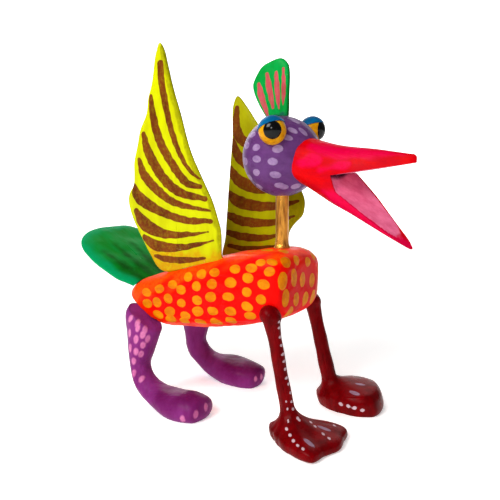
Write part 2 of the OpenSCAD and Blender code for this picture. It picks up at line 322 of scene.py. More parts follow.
# A board's innermost ring: the share s that gives its thickness, and how far it lies from the spine
CORE_SHARE = 0.015
CORE_HALF = 0.01


def blade(outline, spine, thickness, columns, rings, to_row, edge=7.0, thin=0.0):
    """A carved board: rings shrink from its outline to a line along its middle, on the front and then
    the back. Half-thickness is the root of 1 - s^edge, with s from 0 at the spine to 1 at the rim, less
    a share thin towards the tip. The innermost ring lies a hair off the spine all round, so that the
    fan over it is flat."""
    rim = through(outline, columns, closed=True)
    spine = np.asarray(spine, float)
    run = spine[1] - spine[0]
    share = np.clip((rim - spine[0]) @ run / (run @ run), 0, 1)
    core = spine[0] + share[:, None] * run
    q = np.linspace(0, 1, rings)
    s = CORE_SHARE + (1 - CORE_SHARE) * (1 - (1 - q) ** 1.5)
    flat = core[None] + s[:, None, None] * (rim - core)[None]
    reach = np.linalg.norm(rim - core, axis=1, keepdims=True)
    flat[0] = core + CORE_HALF * (rim - core) / reach
    taper = 1 - thin * np.clip((flat[..., 1] - spine[0, 1]) / max(run[1], 1e-6), 0, 1.3)
    half = thickness / 2 * np.sqrt(np.clip(1 - s[:, None] ** edge, 0, 1)) * taper
    front = np.concatenate([flat, half[..., None]], axis=-1)
    back = np.concatenate([flat, -half[..., None]], axis=-1)[::-1][1:]
    return to_row(np.concatenate([front, back]))


def rim_gap(flat, outline):
    """Millimetres from each point of a board to its outline."""
    rim = through(outline, 600, closed=True)
    return np.sqrt(((flat[:, None] - rim[None]) ** 2).sum(-1).min(1))


# ---------------------------------------------------------------- painted shapes


def stroke_field(flat, strokes, fuller=1.0):
    """Millimetres inside the nearest brush stroke: its half-width at the closest point, less the
    distance to it. Each stroke is a list of (u, v, half-width); fuller widens them all."""
    best = np.full(len(flat), OUTSIDE)
    for stroke in strokes:
        path = through(stroke, 70)
        gap = np.linalg.norm(flat[:, None] - path[None, :, :2], axis=-1)
        best = np.maximum(best, (fuller * path[None, :, 2] - gap).max(1))
    return best


# How far above or below its own plane a dab still paints
DAB_REACH = 2.2


def dab_field(points, normals, dabs):
    """Millimetres inside the nearest dab. A dab is (centre, long direction, half-length, half-width);
    it is an ellipse on the surface nearest its centre."""
    best = np.full(len(points), OUTSIDE)
    for centre, along, half_long, half_wide in dabs:
        nearest = np.argmin(((points - centre) ** 2).sum(1))
        anchor, facing = points[nearest], normals[nearest]
        first = np.asarray(along, float)
        first = first - facing * (first @ facing)
        first /= max(np.linalg.norm(first), 1e-9)
        second = np.cross(facing, first)
        away = points - anchor
        near = (np.abs(away @ facing) < DAB_REACH) & (normals @ facing > 0.1)
        a, b = away @ first / half_long, away @ second / half_wide
        inside = (1 - np.sqrt(a**2 + b**2)) * min(half_long, half_wide)
        best = np.where(near, np.maximum(best, inside), best)
    return best


# ---------------------------------------------------------------- shader building blocks


def add(tree, kind, settings=None, **inputs):
    """A shader node, with its settings, and its inputs set or linked by name."""
    made = tree.nodes.new("ShaderNode" + kind)
    for key, value in (settings or {}).items():
        setattr(made, key, value)
    for name, value in inputs.items():
        feed(tree, value, made.inputs[name.replace("_", " ")])
    return made


def feed(tree, value, socket):
    """Links a socket to socket, or sets its value."""
    if isinstance(value, bpy.types.NodeSocket):
        tree.links.new(value, socket)
    else:
        socket.default_value = value


def maths(tree, operation, a, b=0.0, clamp=False):
    """One sum on two values."""
    made = tree.nodes.new("ShaderNodeMath")
    made.operation = operation
    made.use_clamp = clamp
    feed(tree, a, made.inputs[0])
    feed(tree, b, made.inputs[1])
    return made.outputs[0]


def mixed(tree, factor, a, b, way="MIX"):
    """Colour a turned into b by factor."""
    made = tree.nodes.new("ShaderNodeMix")
    made.data_type = "RGBA"
    made.blend_type = way
    made.clamp_factor = True
    feed(tree, factor, made.inputs[0])
    feed(tree, a, made.inputs[6])
    feed(tree, b, made.inputs[7])
    return made.outputs[2]


def ramp(tree, value, low, high, to_low=0.0, to_high=1.0):
    """Smooth step of value from low to high."""
    made = tree.nodes.new("ShaderNodeMapRange")
    made.interpolation_type = "SMOOTHSTEP"
    feed(tree, value, made.inputs["Value"])
    feed(tree, low, made.inputs["From Min"])
    feed(tree, high, made.inputs["From Max"])
    feed(tree, to_low, made.inputs["To Min"])
    feed(tree, to_high, made.inputs["To Max"])
    return made.outputs[0]


def noise(tree, vector, scale, detail=3.0, roughness=0.55):
    """Smooth noise from 0 to 1, scale waves to the metre."""
    made = add(tree, "TexNoise", Vector=vector, Scale=scale, Detail=detail, Roughness=roughness)
    return made.outputs["Fac"]


def new_group(name, inputs, outputs):
    """An empty shader group with typed sockets: its tree, and its input and output nodes."""
    tree = bpy.data.node_groups.new(name, "ShaderNodeTree")
    for label, kind, default in inputs:
        socket = tree.interface.new_socket(label, in_out="INPUT", socket_type="NodeSocket" + kind)
        if default is not None:
            socket.default_value = default
    for label, kind in outputs:
        tree.interface.new_socket(label, in_out="OUTPUT", socket_type="NodeSocket" + kind)
    return tree, tree.nodes.new("NodeGroupInput").outputs, tree.nodes.new("NodeGroupOutput").inputs


def own_coords(tree):
    """The point's place in the figure, in metres."""
    return add(tree, "TexCoord").outputs["Object"]


def stretched(tree, where, grain):
    """A place times a grain of so many marks to the metre on each axis."""
    made = add(tree, "VectorMath", {"operation": "MULTIPLY"})
    feed(tree, where, made.inputs[0])
    feed(tree, grain, made.inputs[1])
    return made.outputs[0]


def new_material(name):
    """A material with its node tree and its shader."""
    material = bpy.data.materials.new(name)
    material.use_nodes = True
    return material, material.node_tree, material.node_tree.nodes["Principled BSDF"]


def emboss(tree, shader, height, depth, strength):
    """Raises the surface where height is high, depth metres at most."""
    raised = add(tree, "Bump", Height=height, Distance=depth, Strength=strength)
    feed(tree, raised.outputs["Normal"], shader.inputs["Normal"])


def grouped(tree, group, **inputs):
    """A group in a material: its outputs."""
    made = tree.nodes.new("ShaderNodeGroup")
    made.node_tree = group
    for name, value in inputs.items():
        feed(tree, value, made.inputs[name.replace("_", " ")])
    return made.outputs


def brush_marks_group():
    """Bristle marks: noise stretched along the stroke shifts the paint from one colour to the other,
    and a slow noise changes how thickly it lies. Grain is the number of marks to the metre on each
    axis."""
    tree, given, out = new_group(
        "brush_marks",
        [
            ("Paint", "Color", None), ("Shade", "Color", None),
            ("Grain", "Vector", (900, 250, 900)), ("Contrast", "Float", 1.0),
        ],
        [("Color", "Color"), ("Height", "Float")],
    )
    where = own_coords(tree)
    bristles = noise(tree, stretched(tree, where, given["Grain"]), 1.0, 4.0, 0.6)
    pools = noise(tree, where, 110.0, 2.0)
    both = maths(tree, "ADD", maths(tree, "MULTIPLY", bristles, 0.6), maths(tree, "MULTIPLY", pools, 0.4))
    share = ramp(tree, both, 0.36, 0.66)
    share = maths(tree, "MULTIPLY", share, given["Contrast"], clamp=True)
    feed(tree, mixed(tree, share, given["Paint"], given["Shade"]), out["Color"])
    feed(tree, maths(tree, "ADD", maths(tree, "MULTIPLY", bristles, 0.7), pools), out["Height"])
    return tree


def dab_coat_group():
    """A layer of dabs over a ground. The field's edge is shifted by a fine noise, so no two dabs match;
    thin paint lets the ground through in streaks, and a ridge of paint stands round the rim."""
    tree, given, out = new_group(
        "dab_coat",
        [
            ("Field", "Float", 0.0),
            ("Ground", "Color", None),
            ("Dab", "Color", None),
            ("Softness", "Float", 0.12),
            ("Wobble", "Float", 0.35),
            ("Thin", "Float", 0.25),
        ],
        [("Color", "Color"), ("Mask", "Float"), ("Height", "Float")],
    )
    where = own_coords(tree)
    ragged = maths(tree, "SUBTRACT", noise(tree, where, 420.0, 2.0), 0.5)
    field = maths(tree, "ADD", given["Field"], maths(tree, "MULTIPLY", ragged, given["Wobble"]))
    below = maths(tree, "MULTIPLY", given["Softness"], -1.0)
    mask = ramp(tree, field, below, given["Softness"])
    patchy = ramp(tree, noise(tree, where, 900.0, 4.0, 0.7), 0.42, 0.72)
    cover = maths(tree, "SUBTRACT", 1.0, maths(tree, "MULTIPLY", patchy, given["Thin"]))
    feed(tree, mixed(tree, maths(tree, "MULTIPLY", mask, cover), given["Ground"], given["Dab"]), out["Color"])
    feed(tree, mask, out["Mask"])
    rim = maths(tree, "MULTIPLY", mask, ramp(tree, field, 0.75, 0.1, 0.0, 0.5))
    feed(tree, maths(tree, "ADD", mask, rim), out["Height"])
    return tree


def edge_wear_and_highlight_group():
    """Where the mesh is sharply convex, paint is rubbed through to the wood in broken specks. On the
    neck the specks take a light gold and are a painted highlight along its ridges.
    """
    tree, given, out = new_group(
        "edge_wear_and_highlight",
        [("Paint", "Color", None), ("Wood", "Color", None), ("Amount", "Float", 0.5)],
        [("Color", "Color"), ("Mask", "Float")],
    )
    where = own_coords(tree)
    convex = ramp(tree, add(tree, "NewGeometry").outputs["Pointiness"], 0.53, 0.6)
    specks = ramp(tree, noise(tree, where, 700.0, 5.0, 0.7), 0.55, 0.7)
    mask = maths(tree, "MULTIPLY", maths(tree, "MULTIPLY", convex, specks), given["Amount"], clamp=True)
    feed(tree, mixed(tree, mask, given["Paint"], given["Wood"]), out["Color"])
    feed(tree, mask, out["Mask"])
    return tree


def wood_grain_group():
    """Bare wood: fibres along the long axis, darker pores in them, and slow bands of growth."""
    tree, given, out = new_group(
        "wood_grain",
        [("Light", "Color", None), ("Dark", "Color", None), ("Grain", "Vector", (1200, 60, 1200))],
        [("Color", "Color"), ("Height", "Float")],
    )
    where = stretched(tree, own_coords(tree), given["Grain"])
    fibres = noise(tree, where, 1.0, 6.0, 0.65)
    bands = noise(tree, where, 0.25, 2.0)
    share = ramp(tree, maths(tree, "ADD", fibres, bands), 0.8, 1.2)
    feed(tree, mixed(tree, share, given["Light"], given["Dark"]), out["Color"])
    feed(tree, fibres, out["Height"])
    return tree


BRUSH = brush_marks_group()
DABS = dab_coat_group()
EDGE_WEAR_AND_HIGHLIGHT = edge_wear_and_highlight_group()
GRAIN = wood_grain_group()

COPAL_WOOD = rgb(205, 170, 120)
COPAL_SHADE = rgb(160, 115, 70)


def field_of(tree, name):
    """A field stored on the mesh."""
    return add(tree, "Attribute", {"attribute_name": name}).outputs["Fac"]


def painted(
    name, paint, shade, layers=(), grain=(900, 250, 900), contrast=1.0, wear=0.5, gloss=0.4, coat=0.0,
    bump=0.00012, specular=0.05,
):
    """A varnished acrylic finish: brushed ground, then layers of (field, colour or pair of colours, softness,
    thinness), then worn edges, with the brush marks and the dabs' rims raised by up to bump metres."""
    material, tree, shader = new_material(name)
    ground = grouped(tree, BRUSH, Paint=paint, Shade=shade, Grain=grain, Contrast=contrast)
    colour, height = ground["Color"], maths(tree, "MULTIPLY", ground["Height"], 0.35)
    for field, dab, softness, thin in layers:
        tint = dab
        if len(dab) == 2:
            tint = grouped(tree, BRUSH, Paint=dab[0], Shade=dab[1], Grain=grain, Contrast=1.0)["Color"]
        coat_on = grouped(
            tree, DABS, Field=field_of(tree, field), Ground=colour, Dab=tint, Softness=softness, Thin=thin,
        )
        colour = coat_on["Color"]
        height = maths(tree, "ADD", height, maths(tree, "MULTIPLY", coat_on["Height"], 0.55))
    wear_and_highlight = grouped(tree, EDGE_WEAR_AND_HIGHLIGHT, Paint=colour, Wood=COPAL_WOOD, Amount=wear)
    feed(tree, wear_and_highlight["Color"], shader.inputs["Base Color"])
    where = own_coords(tree)
    smears = noise(tree, where, 260.0, 4.0)
    rough = ramp(tree, smears, 0.3, 0.75, gloss - 0.07, gloss + 0.13)
    bare = maths(tree, "MULTIPLY", wear_and_highlight["Mask"], 0.3)
    feed(tree, maths(tree, "ADD", rough, bare), shader.inputs["Roughness"])
    emboss(tree, shader, height, bump, 0.8)
    shader.inputs["Specular IOR Level"].default_value = specular
    shader.inputs["Coat Weight"].default_value = coat
    shader.inputs["Coat Roughness"].default_value = 0.12
    return material


def bare_wood(name, light=COPAL_WOOD, dark=COPAL_SHADE, grain=(1200, 60, 1200)):
    """Unpainted wood, dry and matt."""
    material, tree, shader = new_material(name)
    wood = grouped(tree, GRAIN, Light=light, Dark=dark, Grain=grain)
    feed(tree, wood["Color"], shader.inputs["Base Color"])
    emboss(tree, shader, wood["Height"], 0.0001, 0.6)
    shader.inputs["Roughness"].default_value = 0.75
    return material


def dress(obj, material, body, node=None):
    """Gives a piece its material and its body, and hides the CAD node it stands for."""
    if len(obj.data.materials):
        obj.data.materials[0] = material
    else:
        obj.data.materials.append(material)
    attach(obj, body)
    if node:
        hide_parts(node)
    return obj


# ---------------------------------------------------------------- the figure's driving sizes

body_low, body_high = corners("body")
head_low, head_high = corners("head")
neck_low, neck_high = corners("neck_dowel")
HALF_WIDE = (body_high[0] - body_low[0]) / 2
BACK_Z = body_high[2]
HEAD_R = 13.4
HEAD_C = np.array([0, (head_low[1] + head_high[1]) / 2, head_low[2] + HEAD_R])
NECK = np.array([0, (neck_low[1] + neck_high[1]) / 2, 0])
SQUARENESS = 3.6

# Body sections from chest to rump: y, half-width as a share, underside, back below the highest point
BODY_SECTIONS = [
    (-29.7, 0.56, 42.2, -7.2), (-29.2, 0.7, 39.6, -4.4), (-28, 0.86, 37.2, -1.9),
    (-25.2, 0.95, 35.4, -0.4), (-20, 0.985, 33.8, 0), (-12, 1, 31.8, -0.8), (-3, 1, 30, -2.5),
    (6, 1, 28.6, -4.8), (15, 0.99, 27.6, -7.6), (23, 0.97, 27, -10.2), (30, 0.93, 27.2, -12.4),
    (35.4, 0.86, 28.8, -14.4), (38.2, 0.74, 31.2, -16.4), (39.6, 0.58, 33.8, -18.6),
]
BEVEL_POINT = np.array([0, 18.6, 27.6])
BEVEL_TURN = np.radians(30)
BEVEL_UP = np.array([0, -np.sin(BEVEL_TURN), np.cos(BEVEL_TURN)])


def section_at(y):
    """Half-width, middle height and half-height of the body at each y, eased between its sections."""
    table = through(BODY_SECTIONS, 400)
    half = HALF_WIDE * np.interp(y, table[:, 0], table[:, 1])
    low = np.interp(y, table[:, 0], table[:, 2])
    high = BACK_Z + np.interp(y, table[:, 0], table[:, 3])
    return half, (low + high) / 2, (high - low) / 2


def body_rings(rows, columns, grow=0.0):
    """Superellipse sections along Y, pushed out by grow; what is below the rump's bevel is laid on the
    bevel."""
    table = through(BODY_SECTIONS, rows)
    half, middle, high = section_at(table[:, 0])
    angle = even_angles(SQUARENESS, 0.8, columns)
    unit = superellipse(angle, 1, 1, SQUARENESS)
    y = table[:, 0] + grow * np.linspace(-1, 1, rows)
    rings = np.empty((rows, columns, 3))
    rings[..., 0] = (half + grow)[:, None] * unit[None, :, 0]
    rings[..., 1] = y[:, None]
    rings[..., 2] = middle[:, None] + (high + grow)[:, None] * unit[None, :, 1]
    under = np.minimum((rings - BEVEL_POINT) @ BEVEL_UP + grow, 0)
    return with_caps(rings - under[..., None] * BEVEL_UP, 12)


def back_height(x, y):
    """Height of the body's back at x, y."""
    half, middle, high = section_at(y)
    share = np.clip(np.abs(x) / half, 0, 0.995)
    return middle + high * (1 - share**SQUARENESS) ** (1 / SQUARENESS)


def body_cast(grow):
    """A coarse solid bigger than the body by grow, to fit the wings' and tail's feet to it."""
    return solid("cast", body_rings(60, 90, grow))


# Wings and tail: thicknesses, feet, leans, and the tongues that slide in their slots
WING_T = 2.6
WING_FOOT_X = 13.0
WING_FOOT_Z = 54.0
LEAN = {"right": np.radians(5), "left": np.radians(8)}
SIDE = {"right": -1, "left": 1}
TONGUE_HALF_U = 6.0
TONGUE_HALF_T = 0.9
TONGUE_DEEP = 8.5
TONGUE_U = {"right": 6.0, "left": -3.0}
SLOT_GAP = 0.2
TAIL_ROOT = np.array([0, 36.0, 43.0])
TAIL_TILT = np.radians(33)
TAIL_ALONG = np.array([0, np.cos(TAIL_TILT), np.sin(TAIL_TILT)])
TAIL_UP = np.array([0, -np.sin(TAIL_TILT), np.cos(TAIL_TILT)])
TAIL_T = 3.0
CREST_FOOT = 12.3
# How far each foot is kept off the face that it sits on
FOOT_GAP = {"wing": 0.16, "tail": 0.14, "crest": 0.12}


def in_frame(p, origin, first, second, third):
    """Points given along three directions, to the row frame."""
    return origin + p[..., :1] * first + p[..., 1:2] * second + p[..., 2:3] * third


def wing_axes(side):
    """A wing's foot, and its directions along the back, up the blade and outwards."""
    lean = LEAN[side] * SIDE[side]
    foot = np.array([SIDE[side] * WING_FOOT_X, 0, WING_FOOT_Z])
    return foot, BACK, np.array([np.sin(lean), 0, np.cos(lean)]), np.array([np.cos(lean), 0, -np.sin(lean)])


def wing_place(side):
    """The step from blade coordinates (along the back, up the blade, outwards) to the row frame."""
    return lambda p: in_frame(p, *wing_axes(side))


def wing_flat(points, side):
    """Row-frame points back to blade coordinates (along the back, up the blade)."""
    foot, _, up, _ = wing_axes(side)
    return np.stack([points[:, 1], (points - foot) @ up], axis=1)


def tail_slot_place(p):
    """Tail coordinates (to the left, along the blade, up from it) to the row frame."""
    return in_frame(p, TAIL_ROOT, LEFT, TAIL_ALONG, TAIL_UP)


def tail_place(p):
    """The same for the blade, which is arched: it hangs as the square of the distance from its middle,
    more on the right than on the left."""
    arch = -1.6 * (np.minimum(p[..., :1], 8) / 18) ** 2
    return tail_slot_place(p) + arch * TAIL_UP


def crest_place(p):
    """Crest coordinates (towards the back, up, to the left) to the row frame, from the top of the head."""
    return in_frame(p, HEAD_C + CREST_FOOT * UP, BACK, UP, LEFT)


def tongue(low, high, to_row, grow):
    """A tongue between two corners of its piece's frame or, pushed out by grow, its slot."""
    return block(np.array(low) - grow, np.array(high) + grow, to_row)


def wing_tongue(side, grow=0.0):
    """The tongue under a wing, or its slot, which is pushed four times as far out at its top."""
    u = TONGUE_U[side]
    low = (u - TONGUE_HALF_U, -TONGUE_DEEP, -TONGUE_HALF_T)
    return tongue(low, (u + TONGUE_HALF_U, 1.5 + 3 * grow, TONGUE_HALF_T), wing_place(side), grow)


def tail_tongue(grow=0.0):
    """The tongue at the tail's root."""
    return tongue((-7, -7, -1), (7, 4, 1), tail_slot_place, grow)


def crest_tongue(grow=0.0):
    """The tongue under the crest."""
    return tongue((-0.7, -4, -0.8), (5.3, 2.6, 0.8), crest_place, grow)


slot_wood = bare_wood("slot_wood", rgb(150, 95, 55), rgb(95, 55, 30))
tongue_wood = bare_wood("tongue_wood")


def slot_tool(rings, name):
    """A cutter that leaves bare wood behind it."""
    tool = solid(name, rings)
    tool.data.materials.append(slot_wood)
    return tool


# ---------------------------------------------------------------- body

RED, RED_DEEP = rgb(244, 3, 0), rgb(228, 8, 0)
OCHRE, OCHRE_SHADE = rgb(226, 140, 4), rgb(198, 106, 0)
# Dabs on a flank, row by row from the top: y and z
FLANK_DABS = [
    [(7.4, 48.9), (1.6, 50.1), (-4.3, 51.4), (-12.4, 53.4), (-18.4, 54), (-21.6, 57.1), (-26.4, 58.6)],
    [(27.6, 40.6), (21.4, 42.6), (14.6, 45.4), (10.2, 43.6), (3.1, 45.4), (-3.4, 47.1), (-11, 48.2),
     (-17.7, 50.2), (-25.4, 53.4)],
    [(27.4, 36.4), (21.6, 37.7), (16.2, 40.1), (10.4, 38.8), (3.4, 40.5), (-3.2, 42.5), (-10.4, 43),
     (-17.3, 45.5), (-23.6, 48.6)],
    [(21.4, 33), (15.3, 35.2), (8.8, 34.2), (3, 36.2), (-3.8, 37), (-10.3, 37.9), (-17.1, 40.8),
     (-22.6, 43.2)],
    [(15.7, 31.2), (9.2, 30.4), (2.6, 31.6), (-4, 32.6), (-10.2, 33.8), (-17.6, 36.2)],
]
# Dabs on the chest: x and z
CHEST_DABS = [
    (-13.8, 49.6), (-7.5, 49.6), (-0.6, 48.5), (6.6, 47.3), (13.4, 49.4), (-12, 43.4), (-4.6, 42.6),
    (2, 41.3), (8.2, 40.4), (13.6, 43), (-8.4, 37.2), (-10.8, 56.2), (-4.6, 55.9), (2.8, 54.8),
    (9.4, 55.4),
]


def body_dabs():
    """Rows of ovals along both sides that follow the slope of the back, upright ovals on the chest in a brick
    pattern, and looser rows over the back, rump and underside."""
    rng = np.random.default_rng(SEED)
    along, up, across = (0, 1, 0), (0, 0, 1), (1, 0, 0)
    dabs = []

    def one(x, y, z, direction, half_long, half_wide):
        """A dab a little off its place, direction and size."""
        shift = rng.normal(scale=0.22, size=3)
        turned = np.asarray(direction, float) + rng.normal(scale=0.16, size=3)
        size = rng.uniform(0.86, 1.12)
        wide = half_wide * rng.uniform(0.9, 1.1)
        dabs.append((np.array([x, y, z]) + shift, turned, half_long * size, wide))

    for side in (-1, 1):
        for row in FLANK_DABS:
            for y, z in row:
                one(side * HALF_WIDE, y, z, along, 2.15 + 0.006 * y, (1.62 if z < 56 else 1.35) + 0.002 * y)
    for x, z in CHEST_DABS:
        one(x, -30, z, up, 2.75 if z < 54 else 1.9, 2.0)
    for x in (-7, 0, 7):
        for y in np.arange(-26 + 3 * (x == 0), 32, 7.2):
            if abs(x) + abs(y - NECK[1]) > 6:
                one(x, y, BACK_Z + 2 - 0.25 * max(y, 0), along, 2.2, 1.7)
    for x in (-12, -6, 0, 6, 12):
        one(x, 39, 39.5 + 2 * (abs(x) % 12 > 0), across, 2.1, 1.7)
    for x in (-7, 0, 7):
        for y in np.arange(-23, 16, 7.4):
            one(x, y, 22, along, 2.2, 1.7)
    return dabs


def make_body():
    """The carved block with the wings' and tail's slots in it, its back and rump brushed over with orange;
    along the top edge the orange is partly paint and partly a painted highlight.
    """
    body = solid("body_block", body_rings(170, 300), carved(170, 0.32, 0.22, 24, SEED))
    tools = [slot_tool(wing_tongue(side, SLOT_GAP), "slot") for side in SIDE]
    tools.append(slot_tool(tail_tongue(SLOT_GAP), "slot"))
    body.data.materials.append(None)
    cut(body, tools)
    points, normals = surface_of(body)
    ripple = waver(points, 9, SEED + 3)
    above_back = points[:, 2] - back_height(0 * points[:, 0], points[:, 1])
    # Along the top edge the orange is partly brushed paint and partly a painted highlight where light falls
    # on the edge
    top_edge_highlight = above_back + 4.2 + 0.12 * points[:, 1] + 1.8 * ripple
    rump = (points[:, 1] - 29) * 0.8 + 2.2 * ripple
    under = 31 - points[:, 2] + 1.6 * ripple
    # Painted shade: the chest, turned away from the light, gets a darker red
    front = -(points[:, 1] + 28.6) + 0.6 * ripple
    store(
        body,
        dabs=dab_field(points, normals, body_dabs()),
        orange=np.maximum(np.maximum(top_edge_highlight, rump), under),
        chest=front,
    )
    material = painted(
        "red_with_ochre_dabs", RED, RED_DEEP,
        layers=[
            # orange: brushed paint over the rump and underside, and along the top edge partly a painted
            # highlight
            ("orange", rgb(252, 74, 2), 3.0, 0.6),
            # chest: a painted shade of darker red over the front face
            ("chest", rgb(206, 2, 0), 1.2, 0.2),
            ("dabs", (OCHRE, OCHRE_SHADE), 0.1, 0.22),
        ],
        grain=(500, 140, 500), contrast=0.8, wear=0.35,
    )
    dress(body, material, "body", "body")


make_body()


# ---------------------------------------------------------------- wings

# Outlines clockwise from the front of the root: along the back, up the blade
WING_EDGE = {
    "right": [
        (-4.6, -3), (-5, 3), (-5.2, 10.5), (-4.1, 15), (-2.4, 20.4), (0.1, 25.8), (2.7, 31.3),
        (5.2, 36.8), (6.9, 42.2), (8.8, 50.3), (11.2, 58.4), (13, 66.4), (14.1, 71.6), (15.6, 74.1),
        (16.9, 72), (18, 69.2), (20.2, 61.7), (22.6, 56.6), (24.1, 51.3), (27.6, 46.1), (29.7, 40.6),
        (31.9, 34.9), (32.4, 30), (33.2, 26.4), (35.7, 23.3), (36.5, 20.3), (36, 17.3), (34.6, 13.5),
        (31.5, 7.5), (27.6, 1), (22, -5), (8, -4.5),
    ],
    "left": [
        (-15.6, 1), (-16.2, 5.2), (-16.4, 9.2), (-18.3, 12.3), (-21.2, 15.3), (-21.9, 18.3),
        (-21.7, 21.3), (-20.2, 24.6), (-17.6, 28.6), (-11, 36.6), (-4, 45), (2.2, 52.7), (4.8, 56),
        (7.9, 59.6), (10.2, 62), (11.6, 62.4), (12.7, 59.6), (13, 56), (12.3, 46), (12.3, 36),
        (12.1, 20.7), (12.1, 6.5), (12, -3), (-2, -1),
    ],
}
WING_SPINE = {"right": [(13, 4), (14.8, 66)], "left": [(-2, 8), (9.8, 56)]}
# Brown strokes from the rear edge to the front: along, up, half-width
WING_STROKES = {
    "right": [
        [(15.4, 67.2, 1.2), (15.3, 60.2, 1.3), (13.6, 49.4, 1.2), (10.2, 38.4, 0.95),
         (5.9, 31.5, 0.7), (1.9, 28.5, 0.35)],
        [(20.7, 56.9, 0.8), (20.5, 50.7, 1.45), (17.8, 41.2, 1.65), (12.4, 32.5, 1.5),
         (7.4, 27.3, 1.3), (1.8, 25.9, 0.7)],
        [(25.4, 44.3, 1.0), (23.7, 38, 1.8), (17.9, 29.1, 1.8), (10.4, 23.9, 1.5), (0, 21.8, 0.8)],
        [(28.5, 35.6, 0.9), (26.6, 30.1, 1.75), (19.6, 23.8, 1.6), (11.9, 19.9, 1.1),
         (-1.8, 17.7, 0.35)],
        [(32.4, 26.2, 1.0), (30, 22, 2.2), (20.2, 17.1, 1.5), (9, 14.3, 1.2), (-1.7, 14.2, 0.75)],
        [(32, 16.8, 1.2), (28.3, 12.3, 2.5), (18.7, 9, 1.5), (7.3, 9.3, 0.75), (-0.6, 10.5, 0.25)],
        [(29, 7, 1.3), (23.9, 4.6, 1.9), (14.5, 4.2, 1.3), (5.4, 5.6, 0.8), (-2.3, 7.6, 0.25)],
        [(24.4, 0.6, 0.5), (19.6, -0.2, 1.1), (10.3, -0.1, 1.0), (1.4, 1.2, 0.4)],
    ],
    "left": [
        [(10.6, 57.5, 1.0), (10.4, 50, 1.8), (7.6, 45, 1.9), (2.6, 42.5, 1.2), (-2, 43, 0.4)],
        [(11.4, 44.5, 1.0), (8.6, 38.6, 1.8), (2, 34.2, 1.9), (-5.5, 33.6, 1.2), (-10, 35.4, 0.4)],
        [(11.6, 33.2, 1.2), (7.2, 28.6, 2.0), (-1, 25.6, 2.0), (-10, 25.8, 1.3), (-16.8, 27.6, 0.5)],
        [(11.2, 23, 1.4), (5.6, 19.8, 2.1), (-4, 18.4, 1.7), (-13, 19, 1.2), (-19.6, 20.6, 0.5)],
        [(10.8, 14.8, 1.2), (4.6, 12.6, 1.7), (-5, 12, 1.4), (-13, 13, 0.9), (-18.4, 15, 0.4)],
        [(10.4, 7.8, 1.0), (3, 6.4, 1.4), (-6, 6.4, 1.1), (-13.4, 8, 0.4)],
        [(9.6, 2.6, 0.6), (2, 1.8, 1.0), (-7, 2.6, 0.8), (-12.6, 4, 0.3)],
    ],
}
# Ground colours of each wing; the left wing's are darker as a painted shade, since it is turned away from the
# light
WING_PAINT_LEFT_SHADED = {"right": (rgb(196, 201, 0), rgb(176, 174, 0)), "left": (rgb(168, 166, 0), rgb(140, 132, 0))}
WING_RIM = {"right": rgb(148, 146, 0), "left": rgb(150, 146, 0)}
BROWN, BROWN_DARK = rgb(116, 54, 12), rgb(88, 36, 6)


def make_wing(side):
    """A flat board pared thin at its edges, its foot fitted to the back, with a tongue that drops into
    its slot."""
    name = "wing_" + side
    rings = blade(WING_EDGE[side], WING_SPINE[side], WING_T, 420, 46, wing_place(side), edge=9, thin=0.25)
    board = solid(name + "_blade", rings, carved(90, 0.07, 0.1, 18, SEED + len(side)), sharp=45)
    cut(board, [body_cast(FOOT_GAP["wing"])], sharp=45)
    points, _ = surface_of(board)
    flat = wing_flat(points, side)
    front_edge = 1.5 - rim_gap(flat, WING_EDGE[side]) + 0.35 * waver(points, 6, SEED)
    front_edge = np.where(flat[:, 0] < WING_SPINE[side][0][0] + 2, front_edge, -3.0)
    store(
        board,
        strokes=stroke_field(flat, WING_STROKES[side], 1.12) + 0.1 * waver(points, 2.6, SEED + 5),
        rim=front_edge,
        root=3.2 - flat[:, 1] + 1.2 * waver(points, 5, SEED + 9),
    )
    material = painted(
        name + "_yellow_green", *WING_PAINT_LEFT_SHADED[side],
        layers=[
            ("rim", WING_RIM[side], 0.5, 0.5),
            ("root", rgb(190, 142, 0), 2.2, 0.6),
            ("strokes", (BROWN, BROWN_DARK), 0.1, 0.14),
        ],
        grain=(500, 260, 90), contrast=0.7,
    )
    dress(board, material, name, name)
    dress(solid(name + "_tongue", wing_tongue(side)), tongue_wood, name, None)


for wing_side in SIDE:
    make_wing(wing_side)


# ---------------------------------------------------------------- tail

# Outline from the right of the root round the tip: to the left, along the blade
TAIL_EDGE = [
    (-12, -7), (-13.2, -1), (-15, 2.6), (-17.2, 6), (-18.6, 11.5), (-19.4, 19), (-18.8, 25.4),
    (-15.4, 31.2), (-8.5, 34.8), (0, 36), (8.5, 36.6), (15.6, 36.2), (19.4, 32), (20, 24), (18.8, 13),
    (17.2, 6), (15, 2.6), (13.2, -1), (12, -7),
]


